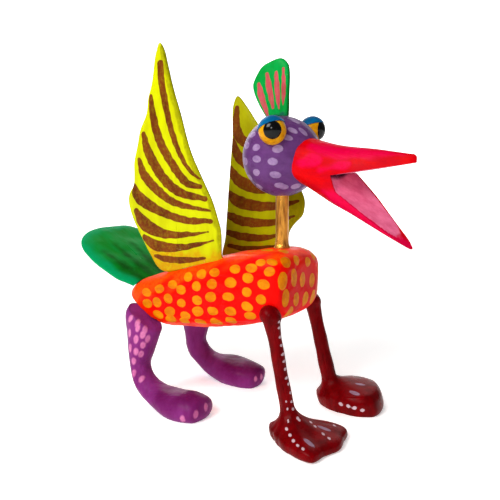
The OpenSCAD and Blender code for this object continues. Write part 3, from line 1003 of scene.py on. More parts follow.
def make_tail():
    """An arched board fanned out behind the rump, its edges a lighter green that is partly a painted
    highlight, with a painted shade of darker green towards its root and dark streaks from its root."""
    rings = blade(TAIL_EDGE, [(0, 0), (0, 24)], TAIL_T, 300, 44, tail_place, edge=6, thin=0.2)
    tail = solid("tail_blade", rings, carved(26, 0.07, 0.16, 15, SEED + 20), sharp=45)
    cut(tail, [body_cast(FOOT_GAP["tail"])], sharp=45)
    points, _ = surface_of(tail)
    flat = np.stack([points[:, 0], (points - TAIL_ROOT) @ TAIL_ALONG], axis=1)
    streaks = [
        [(x * 0.72, 1, 0.8), (x * 0.84, 7, 1.8), (x * 0.94, 14, 1.3), (x * 1.02, end, 0.3)]
        for x, end in ((-12.5, 20), (-5, 22), (4, 22), (12, 20))
    ]
    store(
        tail,
        streaks=stroke_field(flat, streaks) + 0.5 * waver(points, 5, SEED + 6),
        # The lighter teal-green along the rim is partly paint and partly a painted highlight
        edge=3.0 - rim_gap(flat, TAIL_EDGE) + 0.7 * waver(points, 7, SEED + 7),
        # Painted shade: darker green towards the root, where the tail meets the body
        base=9.5 - flat[:, 1] + 2.0 * waver(points, 6, SEED + 8),
    )
    material = painted(
        "tail_green", rgb(0, 140, 52), rgb(0, 124, 24),
        layers=[
            # painted shade of darker green near the root
            ("base", rgb(0, 108, 4), 5.0, 0.4),
            # lighter rim: partly paint, partly a painted highlight
            ("edge", rgb(4, 152, 92), 2.4, 0.25),
            ("streaks", rgb(0, 70, 2), 2.8, 0.3),
        ],
        grain=(420, 60, 60), wear=0.1, gloss=0.5, specular=0.02,
    )
    dress(tail, material, "tail", "tail")
    dress(solid("tail_tongue", tail_tongue()), tongue_wood, "tail", None)


make_tail()


# ---------------------------------------------------------------- head, neck, crest and eyes

EYE_R = 4.4
# Each eye's place from the head's middle, its gaze, and its pupil's radius in radians
EYES = {
    "right": (np.array([-13.0, -3.5, 7.2]), np.array([-0.865, -0.49, -0.04]), 0.69),
    "left": (np.array([12.5, -5.2, 9.8]), np.array([0.15, -0.985, -0.05]), 0.84),
}
PURPLE, PURPLE_DEEP = rgb(96, 54, 112), rgb(76, 40, 88)
LILAC, LILAC_THIN = rgb(156, 128, 168), rgb(128, 98, 144)
# Dabs on the right of the head, measured from its middle; the left has others like them
HEAD_DABS = [
    (-13.2, 2.1, -1.4), (-12.7, -3.4, -2.3), (-11.7, 3.2, -5.6), (-11.1, -3.6, -6.5),
    (-7.5, 4.6, -10.1), (-8.4, -3.6, -9.8), (-10.8, 7.3, 3.3), (-10.5, 8, -1.9), (-8.5, 7.5, -7.1),
    (-10.2, 5.7, 6.6), (-13, 2.5, 2.3), (-12.4, -4.9, 1.7),
]
# Slanted dabs between the eyes
BROW_DABS = [
    (-7.8, -7.9, 7.5), (-10, -7.3, 5.2), (-3.8, -6.7, 10.9), (-4.8, -10.1, 7.3), (4.2, -7.2, 10.4),
    (5.2, -10.2, 7),
]


def head_point(longitude, latitude, radius=HEAD_R):
    """A point on the head. Longitude 0 faces forward and -90 is the figure's right; latitude is upwards."""
    lon, lat = np.radians(longitude), np.radians(latitude)
    return HEAD_C + radius * np.array([np.cos(lat) * np.sin(lon), -np.cos(lat) * np.cos(lon), np.sin(lat)])


def head_dabs():
    """Short level dabs: the placed ones, then rings of latitude over the rest, and slanted ones on the
    brow."""
    rng = np.random.default_rng(SEED + 30)
    dabs = []
    for x, y, z in HEAD_DABS:
        level = np.array([y, -x, rng.normal(scale=1.6)])
        dabs.append((HEAD_C + (x, y, z), level, 1.75 * rng.uniform(0.9, 1.1), 1.2 * rng.uniform(0.9, 1.1)))
    for x, y, z in BROW_DABS:
        dabs.append((HEAD_C + (x, y, z), (-x, -4, -z), 1.85, 1.0))
    for latitude, start, end, step in (
        (-50, -60, 240, 32), (-28, 44, 218, 24), (-9, 50, 215, 23), (9, 44, 210, 24),
        (28, 60, 215, 26), (50, 90, 250, 36),
    ):
        for longitude in np.arange(start, end, step):
            slip = rng.normal(scale=1.6, size=2)
            level = head_point(longitude + 4, latitude) - head_point(longitude - 4, latitude)
            level[2] += rng.normal(scale=0.35)
            dabs.append((head_point(longitude + slip[0], latitude + slip[1]), level,
                         1.7 * rng.uniform(0.88, 1.12), 1.18 * rng.uniform(0.88, 1.15)))
    return dabs


def make_head():
    """A ball with faint knife cuts, bored for the neck and slotted for the crest."""
    head = solid("head_ball", ball(HEAD_C, HEAD_R, 170, 260), carved(70, 0.05, 0.05, 16, SEED + 31))
    heights = np.linspace(70, HEAD_C[2] - HEAD_R + 5.9, 12)
    bore = tube([NECK + (0, 0, z) for z in heights], np.full((12, 2), 2.36), 48)
    head.data.materials.append(None)
    cut(head, [slot_tool(with_caps(bore), "bore"), slot_tool(crest_tongue(SLOT_GAP), "slot")])
    points, normals = surface_of(head)
    store(head, dabs=dab_field(points, normals, head_dabs()))
    material = painted(
        "purple_with_lilac_dabs", PURPLE, PURPLE_DEEP, layers=[("dabs", (LILAC, LILAC_THIN), 0.09, 0.3)],
        grain=(300, 300, 500), contrast=0.7, wear=0.1, gloss=0.3, coat=0.02, bump=0.0001, specular=0.08,
    )
    dress(head, material, "head", "head")


def make_neck():
    """A dowel whittled a little uneven, spreading in a collar of filler where it enters the back."""
    foot = back_height(0, NECK[1])
    z = np.concatenate([np.linspace(neck_low[2], foot - 0.6, 8), np.linspace(foot - 0.4, neck_high[2], 110)])
    spread = 1.15 * np.exp(-np.clip(z - foot + 0.4, 0, None) / 0.9) * (z > foot - 0.7)
    radius = 2.3 + spread
    path = np.stack([np.zeros_like(z), np.full_like(z, NECK[1]), z], axis=1)
    rings = tube(path, np.stack([radius, radius], axis=1), 96)
    middle = path[:, None]
    angle = round_turn(96)[None]
    inside = (z[:, None] < foot - 0.7) | (z[:, None] > HEAD_C[2] - HEAD_R + 0.4)
    ridges = 0.035 * np.sin(9 * angle + 2.2 * np.sin(z[:, None] * 0.35))
    ridges = ridges + 0.03 * np.sin(5 * angle - z[:, None] * 0.21)
    lumps = 0.16 * spread[:, None] * np.sin(3 * angle + z[:, None] * 2.1)
    swell = np.where(inside, 0.0, ridges + lumps - 0.05)
    rings = middle + (rings - middle) * (1 + swell / radius[:, None])[..., None]
    dowel = solid("neck_rod", with_caps(rings))
    material, tree, shader = new_material("gold_paint")
    brushed = grouped(
        tree, BRUSH, Paint=rgb(240, 168, 64), Shade=rgb(132, 74, 16), Grain=(1500, 1500, 160), Contrast=1.0,
    )
    # Painted highlight: light gold specks along the neck's convex ridges and lumps, laid on by the edge wear
    # group
    wear_and_highlight = grouped(tree, EDGE_WEAR_AND_HIGHLIGHT, Paint=brushed["Color"], Wood=rgb(250, 205, 120), Amount=0.8)
    feed(tree, wear_and_highlight["Color"], shader.inputs["Base Color"])
    feed(tree, ramp(tree, brushed["Height"], 0.6, 1.2, 0.26, 0.46), shader.inputs["Roughness"])
    emboss(tree, shader, brushed["Height"], 0.00022, 0.9)
    shader.inputs["Metallic"].default_value = 0.75
    dress(dowel, material, "body", "neck_dowel")


# Outline from the back of the root over the top to the front: towards the back, up
CREST_EDGE = [
    (4.4, -1.6), (6.1, 1.2), (8.6, 5), (10.6, 8.7), (11.4, 12), (10.7, 14.2), (9.2, 16.6), (8, 17.9),
    (6.2, 19), (2.6, 20), (0, 20), (-1.9, 18.3), (-2.5, 15.6), (-2.5, 8), (-2.2, 1.1), (-1.8, -1.8),
    (1, -2.2),
]
# Pink-red tapered strokes on both faces: towards the back, up, half-width
CREST_STROKES = [
    [(8.5, 12.2, 0.7), (7.6, 8.6, 1.2), (6.2, 4.8, 1.0), (4.9, 1.6, 0.4)],
    [(5.3, 15.3, 0.6), (4.6, 11.2, 1.1), (3.6, 7.2, 0.95), (2.9, 4, 0.4)],
    [(1.9, 15.5, 0.5), (1.5, 11, 1.0), (1.0, 7, 0.8), (0.6, 3.6, 0.3)],
    [(-0.9, 16.4, 0.4), (-1.0, 11.6, 0.75), (-1.0, 7.6, 0.6), (-0.9, 4.6, 0.25)],
]


def make_crest():
    """An upright fan, thickest at its foot, cut to sit on the head."""
    rings = blade(CREST_EDGE, [(2.2, 2), (4, 13)], 2.8, 260, 30, crest_place, edge=10, thin=0.12)
    fan = solid("crest_fan", rings, carved(40, 0.05, 0.06, 8, SEED + 40), sharp=45)
    cut(fan, [solid("cast", ball(HEAD_C, HEAD_R + FOOT_GAP["crest"], 60, 90))], sharp=45)
    points, normals = surface_of(fan)
    flat = np.stack([points[:, 1] - HEAD_C[1], points[:, 2] - HEAD_C[2] - CREST_FOOT], axis=1)
    store(
        fan,
        strokes=stroke_field(flat, CREST_STROKES) + 0.08 * waver(points, 2, SEED + 41),
        edge=(0.55 - np.abs(normals[:, 0])) * 4,
        foot=1.6 - flat[:, 1] + 0.5 * waver(points, 3, SEED + 42),
    )
    material = painted(
        "crest_green", rgb(0, 150, 62), rgb(0, 128, 40),
        layers=[
            ("edge", rgb(0, 112, 34), 0.8, 0.3),
            ("foot", rgb(20, 92, 70), 0.7, 0.4),
            ("strokes", (rgb(192, 76, 88), rgb(160, 56, 62)), 0.09, 0.2),
        ],
        grain=(400, 400, 120), contrast=0.8, wear=0.6,
    )
    dress(fan, material, "crest", "crest")
    dress(solid("crest_tongue", crest_tongue()), tongue_wood, "crest", None)


# How far back each lid is set
LID_BACK = {"right": 0.34, "left": 0.1}


def make_eye(side):
    """A bead with a domed black pupil in an amber ring, and a thin blue lid over its crown."""
    offset, gaze, pupil = EYES[side]
    centre = HEAD_C + offset
    gaze = gaze / np.linalg.norm(gaze)
    bead = solid("eye_bead_" + side, ball(centre, EYE_R, 150, 140, gaze))
    points, _ = surface_of(bead)
    angle = np.arccos(np.clip((points - centre) @ gaze / EYE_R, -1, 1))
    lift = 0.28 * np.clip(1 - (angle / pupil) ** 6, 0, 1)
    out = (points - centre) / np.linalg.norm(points - centre, axis=1)[:, None]
    bead.data.vertices.foreach_set("co", ((points + out * lift[:, None]) * MM).ravel())
    bead.data.update()
    store(bead, pupil=(pupil - angle) * EYE_R + 0.05 * waver(points, 2.5, SEED + 50))
    material, tree, shader = new_material("eye_amber_" + side)
    amber = grouped(
        tree, BRUSH, Paint=rgb(214, 152, 6), Shade=rgb(180, 112, 0), Grain=(700, 700, 700), Contrast=1.0,
    )
    eye = grouped(tree, DABS, Field=field_of(tree, "pupil"), Ground=amber["Color"], Dab=rgb(4, 4, 5),
                Softness=0.07, Wobble=0.1, Thin=0.0)
    feed(tree, eye["Color"], shader.inputs["Base Color"])
    smoother = maths(tree, "MULTIPLY", eye["Mask"], 0.16)
    feed(tree, maths(tree, "SUBTRACT", 0.36, smoother), shader.inputs["Roughness"])
    emboss(tree, shader, amber["Height"], 0.00005, 0.5)
    shader.inputs["Specular IOR Level"].default_value = 0.1
    feed(tree, maths(tree, "MULTIPLY", eye["Mask"], 0.25), shader.inputs["Coat Weight"])
    shader.inputs["Coat Roughness"].default_value = 0.05
    dress(bead, material, "head", "eye_" + side)
    crown = 0.96 * UP - 0.26 * gaze + LID_BACK[side] * (BACK - gaze * gaze[1])
    crown /= np.linalg.norm(crown)
    lid_blue = painted("lid_blue_" + side, rgb(0, 98, 152), rgb(0, 74, 116), grain=(600, 600, 600),
                       contrast=0.8, wear=0.2, gloss=0.32, coat=0.02)
    lid = solid("eye_lid_" + side, cap_shell(centre, EYE_R + 0.02, 0.36, crown, 1.25))
    dress(lid, lid_blue, "head", None)


def cap_shell(centre, radius, thickness, crown, reach):
    """A cap of a sphere reach radians wide, with a rounded rim: out over the top and back underneath."""
    first = np.cross(crown, LEFT)
    first /= np.linalg.norm(first)
    second = np.cross(crown, first)
    turn = np.linspace(0, np.pi, 15)[1:-1]
    over = np.linspace(0.02, reach, 40)
    middle = radius + thickness / 2
    polar = np.concatenate([over, reach + thickness / 2 / radius * np.sin(turn), over[::-1]])
    round_edge = middle + thickness / 2 * np.cos(turn)
    away = np.concatenate([np.full(40, radius + thickness), round_edge, np.full(40, radius)])
    angle = round_turn(110)
    flat = np.cos(angle)[:, None] * first + np.sin(angle)[:, None] * second
    return centre + away[:, None, None] * (
        np.sin(polar)[:, None, None] * flat[None] + np.cos(polar)[:, None, None] * crown
    )


make_head()
make_neck()
make_crest()
for eye_side in EYES:
    make_eye(eye_side)


# ---------------------------------------------------------------- beak

# Outer wedge from the tips to inside the head: y, lowest z, highest z, half-width
BEAK_SECTIONS = [
    (-65.9, 61.6, 88.2, 0.4), (-65.6, 61.0, 88.6, 0.9), (-65, 60.7, 89, 1.5), (-63, 61.7, 89.3, 2.5),
    (-56, 65.6, 90.5, 4.3), (-50, 68.9, 91.4, 5.5), (-45, 71.6, 92.2, 6.4), (-40, 74.3, 93.2, 7.4),
    (-34, 78.0, 94.8, 8.8), (-29, 80.6, 96.2, 9.8), (-24, 82.0, 96.6, 10.0),
]
# The mouth's corner, and the far ends of its two cuts, past the beak's tips: y and z
MOUTH_CORNER = np.array([-41.4, 83.4])
UPPER_LIP = np.array([-70, 87.4])
LOWER_LIP = np.array([-70, 56.6])
MOUTH_LEAN = 0.06
LIP_TILT = 0.6
PINK_RIM = 0.35


def mouth_wedge():
    """The sawn mouth: a three-cornered section carried across the beak. Its lower face leans to the
    figure's right by LIP_TILT, and never rises past its upper face."""
    a = MOUTH_CORNER + np.linspace(0, 1, 70)[:, None] * (UPPER_LIP - MOUTH_CORNER)
    b = UPPER_LIP + np.linspace(0, 1, 20)[1:-1, None] * (LOWER_LIP - UPPER_LIP)
    c = LOWER_LIP + np.linspace(0, 1, 80)[:-1, None] * (MOUTH_CORNER - LOWER_LIP)
    loop = np.vstack([a, b, c])
    x = np.linspace(-13, 13, 75)
    rings = np.empty((len(x), len(loop), 3))
    rings[..., 0] = x[:, None]
    rings[..., 1] = loop[None, :, 0]
    below = np.clip((MOUTH_CORNER[0] - loop[:, 0]) / 12, 0, 1)[None]
    sag = 0.35 * np.cos(np.clip(x / 6, -1, 1) * np.pi / 2)[:, None] * below
    under = (np.arange(len(loop)) >= len(a))[None]
    lower = under * np.clip((UPPER_LIP[1] - loop[:, 1]) / 4, 0, 1)[None]
    height = loop[None, :, 1] + x[:, None] * (MOUTH_LEAN + LIP_TILT * lower * np.clip(below * 8, 0, 1)) - sag
    slope = (UPPER_LIP[1] - MOUTH_CORNER[1]) / (MOUTH_CORNER[0] - UPPER_LIP[0])
    ceiling = MOUTH_CORNER[1] + slope * (MOUTH_CORNER[0] - loop[None, :, 0]) + MOUTH_LEAN * x[:, None] - sag
    rings[..., 2] = np.minimum(height, ceiling - 0.04 * under)
    return with_caps(rings, 3)


def beak_squareness(y, above):
    """The beak's sections are near-elliptical above, and squarer below towards the tip."""
    return np.where(above, 2.4, 2.4 + 1.8 * np.clip((-38 - y) / 14, 0, 1))


def beak_depth(points):
    """Millimetres below the beak's outer skin."""
    table = through(BEAK_SECTIONS, 500)
    y = points[:, 1]
    low, high, half = (np.interp(y, table[:, 0], table[:, k]) for k in (1, 2, 3))
    middle = (low + high) / 2
    power = beak_squareness(y, points[:, 2] > middle)
    level = np.abs(points[:, 0] / half) ** power + np.abs((points[:, 2] - middle) / (high - middle)) ** power
    return (1 - level ** (1 / power)) * half


def make_beak():
    """One block tapered to two tips, its mouth sawn out in a V, its back hollowed to the ball of the head."""
    table = through(BEAK_SECTIONS, 190)
    angle = even_angles(2.4, 1.6, 240)[None]
    y, low, high, half = (table[:, k, None] for k in range(4))
    section = superellipse(angle, half, (high - low) / 2, beak_squareness(y, np.sin(angle) > 0))
    rings = np.stack([section[..., 0], y + 0 * angle, (low + high) / 2 + section[..., 1]], axis=-1)
    beak = solid("beak_wedge", with_caps(rings), carved(60, 0.07, 0.1, 12, SEED + 60))
    cut(beak, [solid("mouth", mouth_wedge()), solid("socket", ball(HEAD_C, HEAD_R - 0.1, 90, 130))])
    points, _ = surface_of(beak)
    ripple = waver(points, 7, SEED + 61)
    depth = beak_depth(points)
    side = points[:, [1, 2]]
    upper_line = [(-35, 92.6, 1.2), (-44, 90.2, 2.0), (-54, 89.4, 1.5), (-62, 88.9, 0.4)]
    upper_flash = stroke_field(side, [upper_line])
    lower_flash = stroke_field(side, [[(-39, 78.2, 1.6), (-47, 72.8, 2.4), (-56, 67.2, 2.0), (-64, 62, 1.2)]])
    spot = stroke_field(side, [[(-33.2, 87.2, 1.7), (-35.4, 87.6, 1.9), (-37.0, 87.4, 1.4)]])
    corner = stroke_field(side, [[(-38.5, 84.6, 0.8), (-42.6, 85.4, 1.2), (-47, 86.6, 0.6)]])
    magenta = np.max([upper_flash, lower_flash, spot, corner], axis=0) + 0.55 * ripple
    inside = (depth > 0.25) & (points[:, 1] < MOUTH_CORNER[0] + 0.6)
    mouth = np.where(inside, depth - PINK_RIM + 0.12 * ripple, -1.0)
    corner_gap = np.linalg.norm(side - MOUTH_CORNER, axis=1)
    store(
        beak,
        magenta=magenta,
        mouth=mouth,
        # Painted shade: dark purple in the corner of the mouth, where the jaws meet
        crease=np.where(mouth > -0.6, 1.5 - corner_gap, -3.0),
    )
    material = painted(
        "beak_red", rgb(206, 0, 6), rgb(184, 0, 22),
        layers=[
            ("magenta", rgb(212, 0, 62), 0.9, 0.35),
            ("mouth", (rgb(236, 118, 156), rgb(214, 90, 130)), 0.1, 0.1),
            # painted shade in the mouth's corner
            ("crease", rgb(90, 20, 50), 0.8, 0.4),
        ],
        grain=(420, 120, 420), contrast=0.9, wear=0.1, gloss=0.38, specular=0.04,
    )
    dress(beak, material, "head", "beak")


make_beak()


# ---------------------------------------------------------------- legs

# Front legs: radius, shoulder's radius, and where the foot's web ends
LEG_R = 1.85
SHOULDER_R = 3.5
FOOT_H = 11.0
# Extra radius of the leg above the foot and at the shoulder
STOUT = {"right": (0.55, 0.1), "left": (1.05, 0.25)}
# Ankle, shoulder, thickness of the toes and hollowness of the web
FRONT_LEGS = {
    "right": (np.array([-17, -33.2, 6]), np.array([-16.6, -26, 38.6]), 3.4, 2.6),
    "left": (np.array([16.2, -33.4, 6]), np.array([16.4, -24.8, 38]), 6.0, 2.6),
}
# Sole outlines: degrees from straight ahead, distance from the ankle
SOLES = {
    "right": [
        (0, 16.4), (18, 16.2), (36, 18.2), (50, 15.8), (75, 9.4), (110, 6.6), (150, 7.4), (176, 8.2),
        (210, 7), (232, 6.4), (265, 7.6), (295, 11.4), (316, 17.4), (335, 15.2), (348, 15.4),
        (360, 16.4),
    ],
    "left": [
        (0, 18.2), (20, 18), (34, 17.8), (50, 14.5), (75, 9.5), (110, 6.2), (150, 6), (180, 6.6),
        (210, 6), (250, 5.8), (285, 7), (310, 9.6), (330, 14.4), (345, 18), (360, 18.2),
    ],
}
MAROON, MAROON_DEEP = rgb(122, 0, 6), rgb(84, 0, 3)
# White beads over the toes, then their long direction and half-sizes
TOE_BEADS = {
    "right": [
        (-21.9, -35.2, 5), (-23.8, -37, 4.4), (-25.4, -39, 4), (-26.6, -41.2, 3.8), (-27.4, -43.4, 3.5),
        (-15, -39.2, 4.6), (-15.6, -41.4, 4.2), (-17.2, -44.6, 3.6), (-17.6, -46.8, 3.6),
        (-9.2, -45.2, 3.6),
    ],
    "left": [(8.6, -40.4, 3.6), (8.2, -42.8, 3.6), (8.4, -45.2, 3.4), (9, -48.4, 3)],
}
BEAD = {"right": ((1, 1, 0), 0.72, 0.5), "left": ((1, 0, 0), 0.8, 0.6)}
# Lilac marks on the toes: place, long direction, half-length, half-width
TOE_MARKS = {
    "right": [((-24.2, -43.2, 3.8), (0.3, 1, 0), 2.2, 0.9), ((-13.8, -43.8, 3.8), (-0.3, 1, 0), 2.1, 0.85)],
    "left": [((12, -44.6, 7), (0.2, 1, 0), 2, 0.9), ((18, -43.4, 8.4), (-0.4, 1, 0), 1.9, 0.8)],
}


def foot_rings(side, rows, columns):
    """Level slices whose reach falls from the sole's outline to the ankle as (1 - h)^web, over a
    rounded rim. The left foot's toes are thickest ahead and outwards."""
    ankle, shoulder, toe, web = FRONT_LEGS[side]
    sole = np.array(SOLES[side])
    angle = np.linspace(360, 0, columns, endpoint=False)
    fine = np.interp(np.linspace(0, 360, 720, endpoint=False), sole[:, 0], sole[:, 1])
    ease = np.hanning(31) / np.hanning(31).sum()
    fine = np.convolve(np.concatenate([fine[-15:], fine, fine[:15]]), ease, mode="valid")
    reach = np.interp(angle % 360, np.arange(720) / 2, fine, period=360)
    t = np.linspace(0, 1, rows)
    z = FOOT_H * t**1.25
    foot_r = LEG_R + STOUT[side][0]
    toe = toe + (2.4 * np.cos(np.radians(angle - 45)) if side == "left" else 0 * angle)[None]
    rim = np.clip(z[:, None] / toe, 0, 1)
    rounding = 1 - 0.09 * np.abs(2 * rim - 1) ** 3
    spread = np.where(rim < 1, rounding, 0.91 * np.clip(1 - (z[:, None] - toe) / (FOOT_H - toe), 0, 1) ** web)
    radius = foot_r + (reach[None] - foot_r) * spread
    lean = (shoulder - ankle)[None] * ((z - ankle[2]) / (shoulder[2] - ankle[2]))[:, None]
    heading = np.stack([np.sin(np.radians(angle)), -np.cos(np.radians(angle))], axis=1)
    rings = np.empty((rows, columns, 3))
    rings[..., :2] = (ankle[:2] + lean[:, :2])[:, None] + radius[..., None] * heading[None]
    rings[..., 2] = z[:, None]
    return rings


def front_leg_rings(side):
    """The foot, then the leg up to its shoulder, which swells into a dome: a profile carried along the
    leg."""
    ankle, shoulder, _, _ = FRONT_LEGS[side]
    columns = 150
    foot = foot_rings(side, 60, columns)
    axis = shoulder - ankle
    length = np.linalg.norm(axis)
    start = (FOOT_H - ankle[2]) / axis[2] * length
    s = np.concatenate([
        np.linspace(start, length - SHOULDER_R, 90)[1:],
        length - SHOULDER_R * np.cos(np.linspace(0, np.pi, 44))[1:-1],
    ])
    dome = np.sqrt(np.clip(SHOULDER_R**2 - (s - length) ** 2, 0, None))
    low_extra, high_extra = STOUT[side]
    shaft = LEG_R + low_extra + (high_extra - low_extra) * (s - start) / (length - start)
    shaft = shaft + 1.3 * np.exp(-np.abs(s - length) / 5)
    radius = np.where(s < length - SHOULDER_R * 0.3, np.maximum(dome, shaft), dome)
    angle = np.radians(np.linspace(360, 0, columns, endpoint=False))
    heading = np.stack([np.sin(angle), -np.cos(angle), np.zeros(columns)], axis=1)
    centre = ankle + s[:, None] * axis / length
    return with_caps(np.concatenate([foot, centre[:, None] + radius[:, None, None] * heading[None]]), 14)


def leg_dots(side, points, normals):
    """White dots up the front of the right leg, white beads over the toes, and two lilac toe marks."""
    ankle, shoulder = FRONT_LEGS[side][:2]
    rng = np.random.default_rng(SEED + 70)
    white = []
    if side == "right":
        for z in np.concatenate([np.arange(37.2, 8, -2.45), [6.2, 4.8]]):
            middle = ankle + (z - ankle[2]) / (shoulder[2] - ankle[2]) * (shoulder - ankle)
            spot = middle + (-0.3, -2.3, rng.normal(scale=0.2))
            white.append((spot, (1, 0.2, 0.1), rng.uniform(0.5, 0.8), 0.44))
            if z < 14:
                white.append((middle + (-1.9, -1.2, rng.normal(scale=0.3)), (0, 0, 1), 0.4, 0.3))
    white += [(bead, *BEAD[side]) for bead in TOE_BEADS[side]]
    return dab_field(points, normals, white), dab_field(points, normals, TOE_MARKS[side])


def make_front_leg(side):
    """A carved leg and foot in one piece, painted maroon."""
    name = "leg_front_" + side
    leg = solid(name + "_carving", front_leg_rings(side), carved(90, 0.1, 0.08, 9, SEED + 71), sharp=50)
    points, normals = surface_of(leg)
    white, lilac = leg_dots(side, points, normals)
    store(leg, dots=white, marks=lilac)
    material = painted(
        name + "_maroon", MAROON, MAROON_DEEP,
        layers=[("marks", rgb(146, 118, 140), 0.14, 0.35), ("dots", rgb(206, 180, 190), 0.1, 0.2)],
        grain=(420, 420, 130), contrast=0.9, wear=0.05, gloss=0.3,
    )
    dress(leg, material, "body", name)


# Rear leg stations down the spine: y, z, half-depth, half-width, drift outwards
REAR_LEG = [
    (25, 40, 7.2, 5.6, 0), (26, 35, 8.0, 6.0, 0), (27, 30, 7.8, 6.2, 0.2), (27.6, 26, 6.6, 6, 0.4),
    (28.3, 20, 5, 5.3, 0.8), (28.6, 14.6, 3.7, 4.5, 1.3), (26.8, 10, 3.4, 4.3, 1.9),
    (23.2, 6.6, 3.6, 4.8, 2.4), (18, 4.3, 4.1, 5.8, 2.7), (11, 3.2, 4.9, 7.1, 2.9),
    (4.4, 3.1, 5.4, 7.6, 3), (-0.4, 3.1, 4.6, 6.6, 3), (-3, 2.9, 3, 4.2, 3),
]
REAR_LEG_X = {"right": -17.5, "left": 14.0}
# Pink dabs down the thigh: y and z
REAR_DABS = [
    (29, 33.5), (22.9, 34.4), (24.2, 29.6), (19.4, 30.6), (25.4, 24.6), (21.2, 26), (21, 22),
    (16.9, 23.2), (25.4, 19.8), (21.6, 17.8), (27, 15.8), (22.6, 12.6), (29.5, 27), (29.8, 21),
    (27.4, 12),
]
VIOLET, VIOLET_DEEP = rgb(132, 46, 122), rgb(100, 15, 80)


def make_rear_leg(side):
    """Round slices square to a spine that turns forward at the ankle, flat under the sole and along the
    bevel."""
    name = "leg_rear_" + side
    way = SIDE[side]
    table = through(REAR_LEG, 170)
    if side == "left":
        # The left foot is the stouter one at its ankle and instep
        ankle_swell = np.exp(-(((table[:, 0] - 27.5) / 4) ** 2) - (((table[:, 1] - 12) / 6) ** 2))
        instep_swell = np.exp(-(((table[:, 0] - 13) / 9) ** 2)) * (table[:, 1] < 12)
        table[:, 2] += 1.0 * ankle_swell + 1.1 * instep_swell
        table[:, 3] += 0.4 * ankle_swell + 1.0 * instep_swell
        table[:, 1] += 0.8 * instep_swell
    path = np.stack([REAR_LEG_X[side] + way * table[:, 4], table[:, 0], table[:, 1]], axis=1)
    tip = np.sqrt(np.clip(1 - np.clip((np.arange(170) - 160) / 9.4, 0, 1) ** 2, 0.02, 1))
    rings = tube(path, np.stack([table[:, 3], table[:, 2]], axis=1) * tip[:, None], 130)
    over = np.maximum((rings - BEVEL_POINT) @ BEVEL_UP - 0.02, 0)
    rings = rings - over[..., None] * BEVEL_UP
    close = np.clip(1 + (rings - BEVEL_POINT) @ BEVEL_UP / 2.6, 0, 1)
    inward = path[:, None] - rings
    inward[..., 2] = 0
    rings = rings + (0.16 * close**2)[..., None] * inward
    knife = carved(120, 0.14, 0.2, 13, SEED + 80 + way)

    def pared(points, normals):
        shaped = knife(points, normals)
        shaped[:, 2] = np.maximum(shaped[:, 2], 0)
        proud = np.maximum((shaped - BEVEL_POINT) @ BEVEL_UP - 0.02, 0)
        return shaped - proud[:, None] * BEVEL_UP

    leg = solid(name + "_carving", with_caps(rings, 10), pared, sharp=50)
    points, normals = surface_of(leg)
    rng = np.random.default_rng(SEED + 81)
    pink = []
    if side == "right":
        for y, z in REAR_DABS:
            pink.append(((-26.0, y, z), (0, -0.3, 1), rng.uniform(1.3, 1.75), rng.uniform(0.85, 1.05)))
            pink.append(((-9.0, y + 1, z), (0, 0.3, 1), rng.uniform(1.15, 1.5), rng.uniform(0.8, 1.05)))
        for y, z, x in ((1.4, 1.8, -28), (-2.4, 3.4, -25), (-4.4, 4.6, -20.5)):
            pink.append(((x, y, z), (0.2, 0, 1), 1.35, 0.95))
    else:
        for y, z in REAR_DABS:
            pink.append(((26.0, y, z), (0, -0.45, 1), rng.uniform(1.15, 1.6), rng.uniform(0.8, 1.05)))
        for x in (13, 17, 21):
            pink.append(((x, -4.4, 4.0), (0, 0, 1), 1.2, 0.9))
    store(
        leg,
        dabs=dab_field(points, normals, pink),
        shade=np.minimum(points[:, 2] - 4.5, 14 - points[:, 1]) * 0.5 + waver(points, 8, SEED + 82),
    )
    material = painted(
        name + "_violet", VIOLET, rgb(116, 32, 102),
        layers=[
            ("shade", VIOLET_DEEP, 2.4, 0.3),
            ("dabs", (rgb(220, 128, 178), rgb(190, 94, 150)), 0.3, 0.3),
        ],
        grain=(420, 420, 150), contrast=0.8, wear=0.1, gloss=0.34,
    )
    dress(leg, material, "body", name)


for leg_side in SIDE:
    make_front_leg(leg_side)
    make_rear_leg(leg_side)

peg_wood = bare_wood("peg_wood")
for peg in ("beak_peg", "peg_front_right", "peg_front_left", "peg_rear_right", "peg_rear_left"):
    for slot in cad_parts[peg].material_slots:
        slot.material = peg_wood


# ---------------------------------------------------------------- floor, light and camera


PALE, PALER = rgb(247, 247, 247), rgb(251, 251, 251)
FLOOR_HALF = 3000
# Metres from the middle of the floor where its glow starts and stops rising
GLOW_FROM = 0.25
GLOW_TO = 0.9


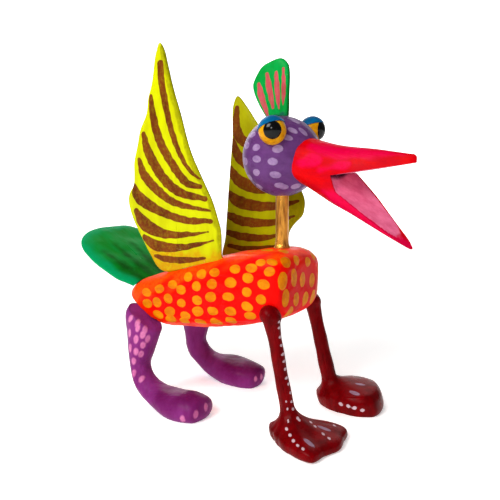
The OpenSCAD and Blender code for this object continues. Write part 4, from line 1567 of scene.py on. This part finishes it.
def card(name, corners_mm, glow, far_glow):
    """A flat pale sheet, part of the studio, lit from within, more so away from the middle of the room."""
    mesh = bpy.data.meshes.new(name)
    mesh.from_pydata((np.array(corners_mm, float) * MM).tolist(), [], [(0, 1, 2, 3)])
    sheet = bpy.data.objects.new(name, mesh)
    bpy.context.scene.collection.objects.link(sheet)
    material, tree, shader = new_material(name + "_card")
    where = own_coords(tree)
    feed(tree, mixed(tree, noise(tree, where, 900.0, 3.0), PALE, PALER), shader.inputs["Base Color"])
    shader.inputs["Roughness"].default_value = 0.9
    shader.inputs["Specular IOR Level"].default_value = 0.05
    shader.inputs["Emission Color"].default_value = (1, 1, 1, 1)
    away = add(tree, "VectorMath", {"operation": "LENGTH"}, Vector=where).outputs["Value"]
    feed(tree, ramp(tree, away, GLOW_FROM, GLOW_TO, glow, far_glow), shader.inputs["Emission Strength"])
    mesh.materials.append(material)


def make_sheets():
    """A wide floor under the figure and an upright backdrop well behind it."""
    h = FLOOR_HALF
    card("floor", [(-h, -h, 0), (h, -h, 0), (h, h, 0), (-h, h, 0)], 0.42, 1.0)
    card("backdrop", [(700, 1900, -1), (2700, -500, -1), (2700, -500, 2200), (700, 1900, 2200)], 1.0, 1.0)


def aim(obj, at, target):
    """Puts obj at a point and turns its -Z towards the target."""
    obj.location = Vector(at) * MM
    obj.rotation_euler = (Vector(target) - Vector(at)).to_track_quat("-Z", "Y").to_euler()


def soft_light(name, at, size, power, colour=(1, 1, 1)):
    """A square lamp at a point, size mm wide and of so many watts, turned to the figure."""
    lamp = bpy.data.lights.new(name, "AREA")
    lamp.size = size * MM
    lamp.energy = power
    lamp.color = colour
    obj = bpy.data.objects.new(name, lamp)
    bpy.context.scene.collection.objects.link(obj)
    aim(obj, at, (0, 0, 60))


def make_studio():
    """A large soft lamp high on the figure's right, a weak one behind, a small one for sparkle, and a
    pale room."""
    soft_light("key_softbox", (-420, 60, 420), 260, 2.9, (1.0, 0.98, 0.95))
    soft_light("rim_strip", (260, 300, 360), 300, 0.7)
    soft_light("small_lamp", (-320, -140, 190), 34, 0.14)
    world = bpy.data.worlds.new("pale_room")
    world.use_nodes = True
    sky = world.node_tree.nodes["Background"]
    sky.inputs["Color"].default_value = (1, 1, 1, 1)
    sky.inputs["Strength"].default_value = 0.16
    bpy.context.scene.world = world
    bpy.context.scene.view_settings.view_transform = "Standard"


def make_camera():
    """Close to the figure's right front, at the height of its neck, looking slightly down."""
    camera = bpy.data.objects.new("camera", bpy.data.cameras.new("camera"))
    bpy.context.scene.collection.objects.link(camera)
    camera.data.sensor_width = 36.0
    camera.data.lens = 37.8
    camera.data.clip_start = 0.005
    camera.location = np.array([-159.2, -106.8, 78.1]) * MM
    camera.rotation_euler = np.radians([90 - 6.38, 0, -58.17])
    bpy.context.scene.camera = camera


make_sheets()
make_studio()
make_camera()
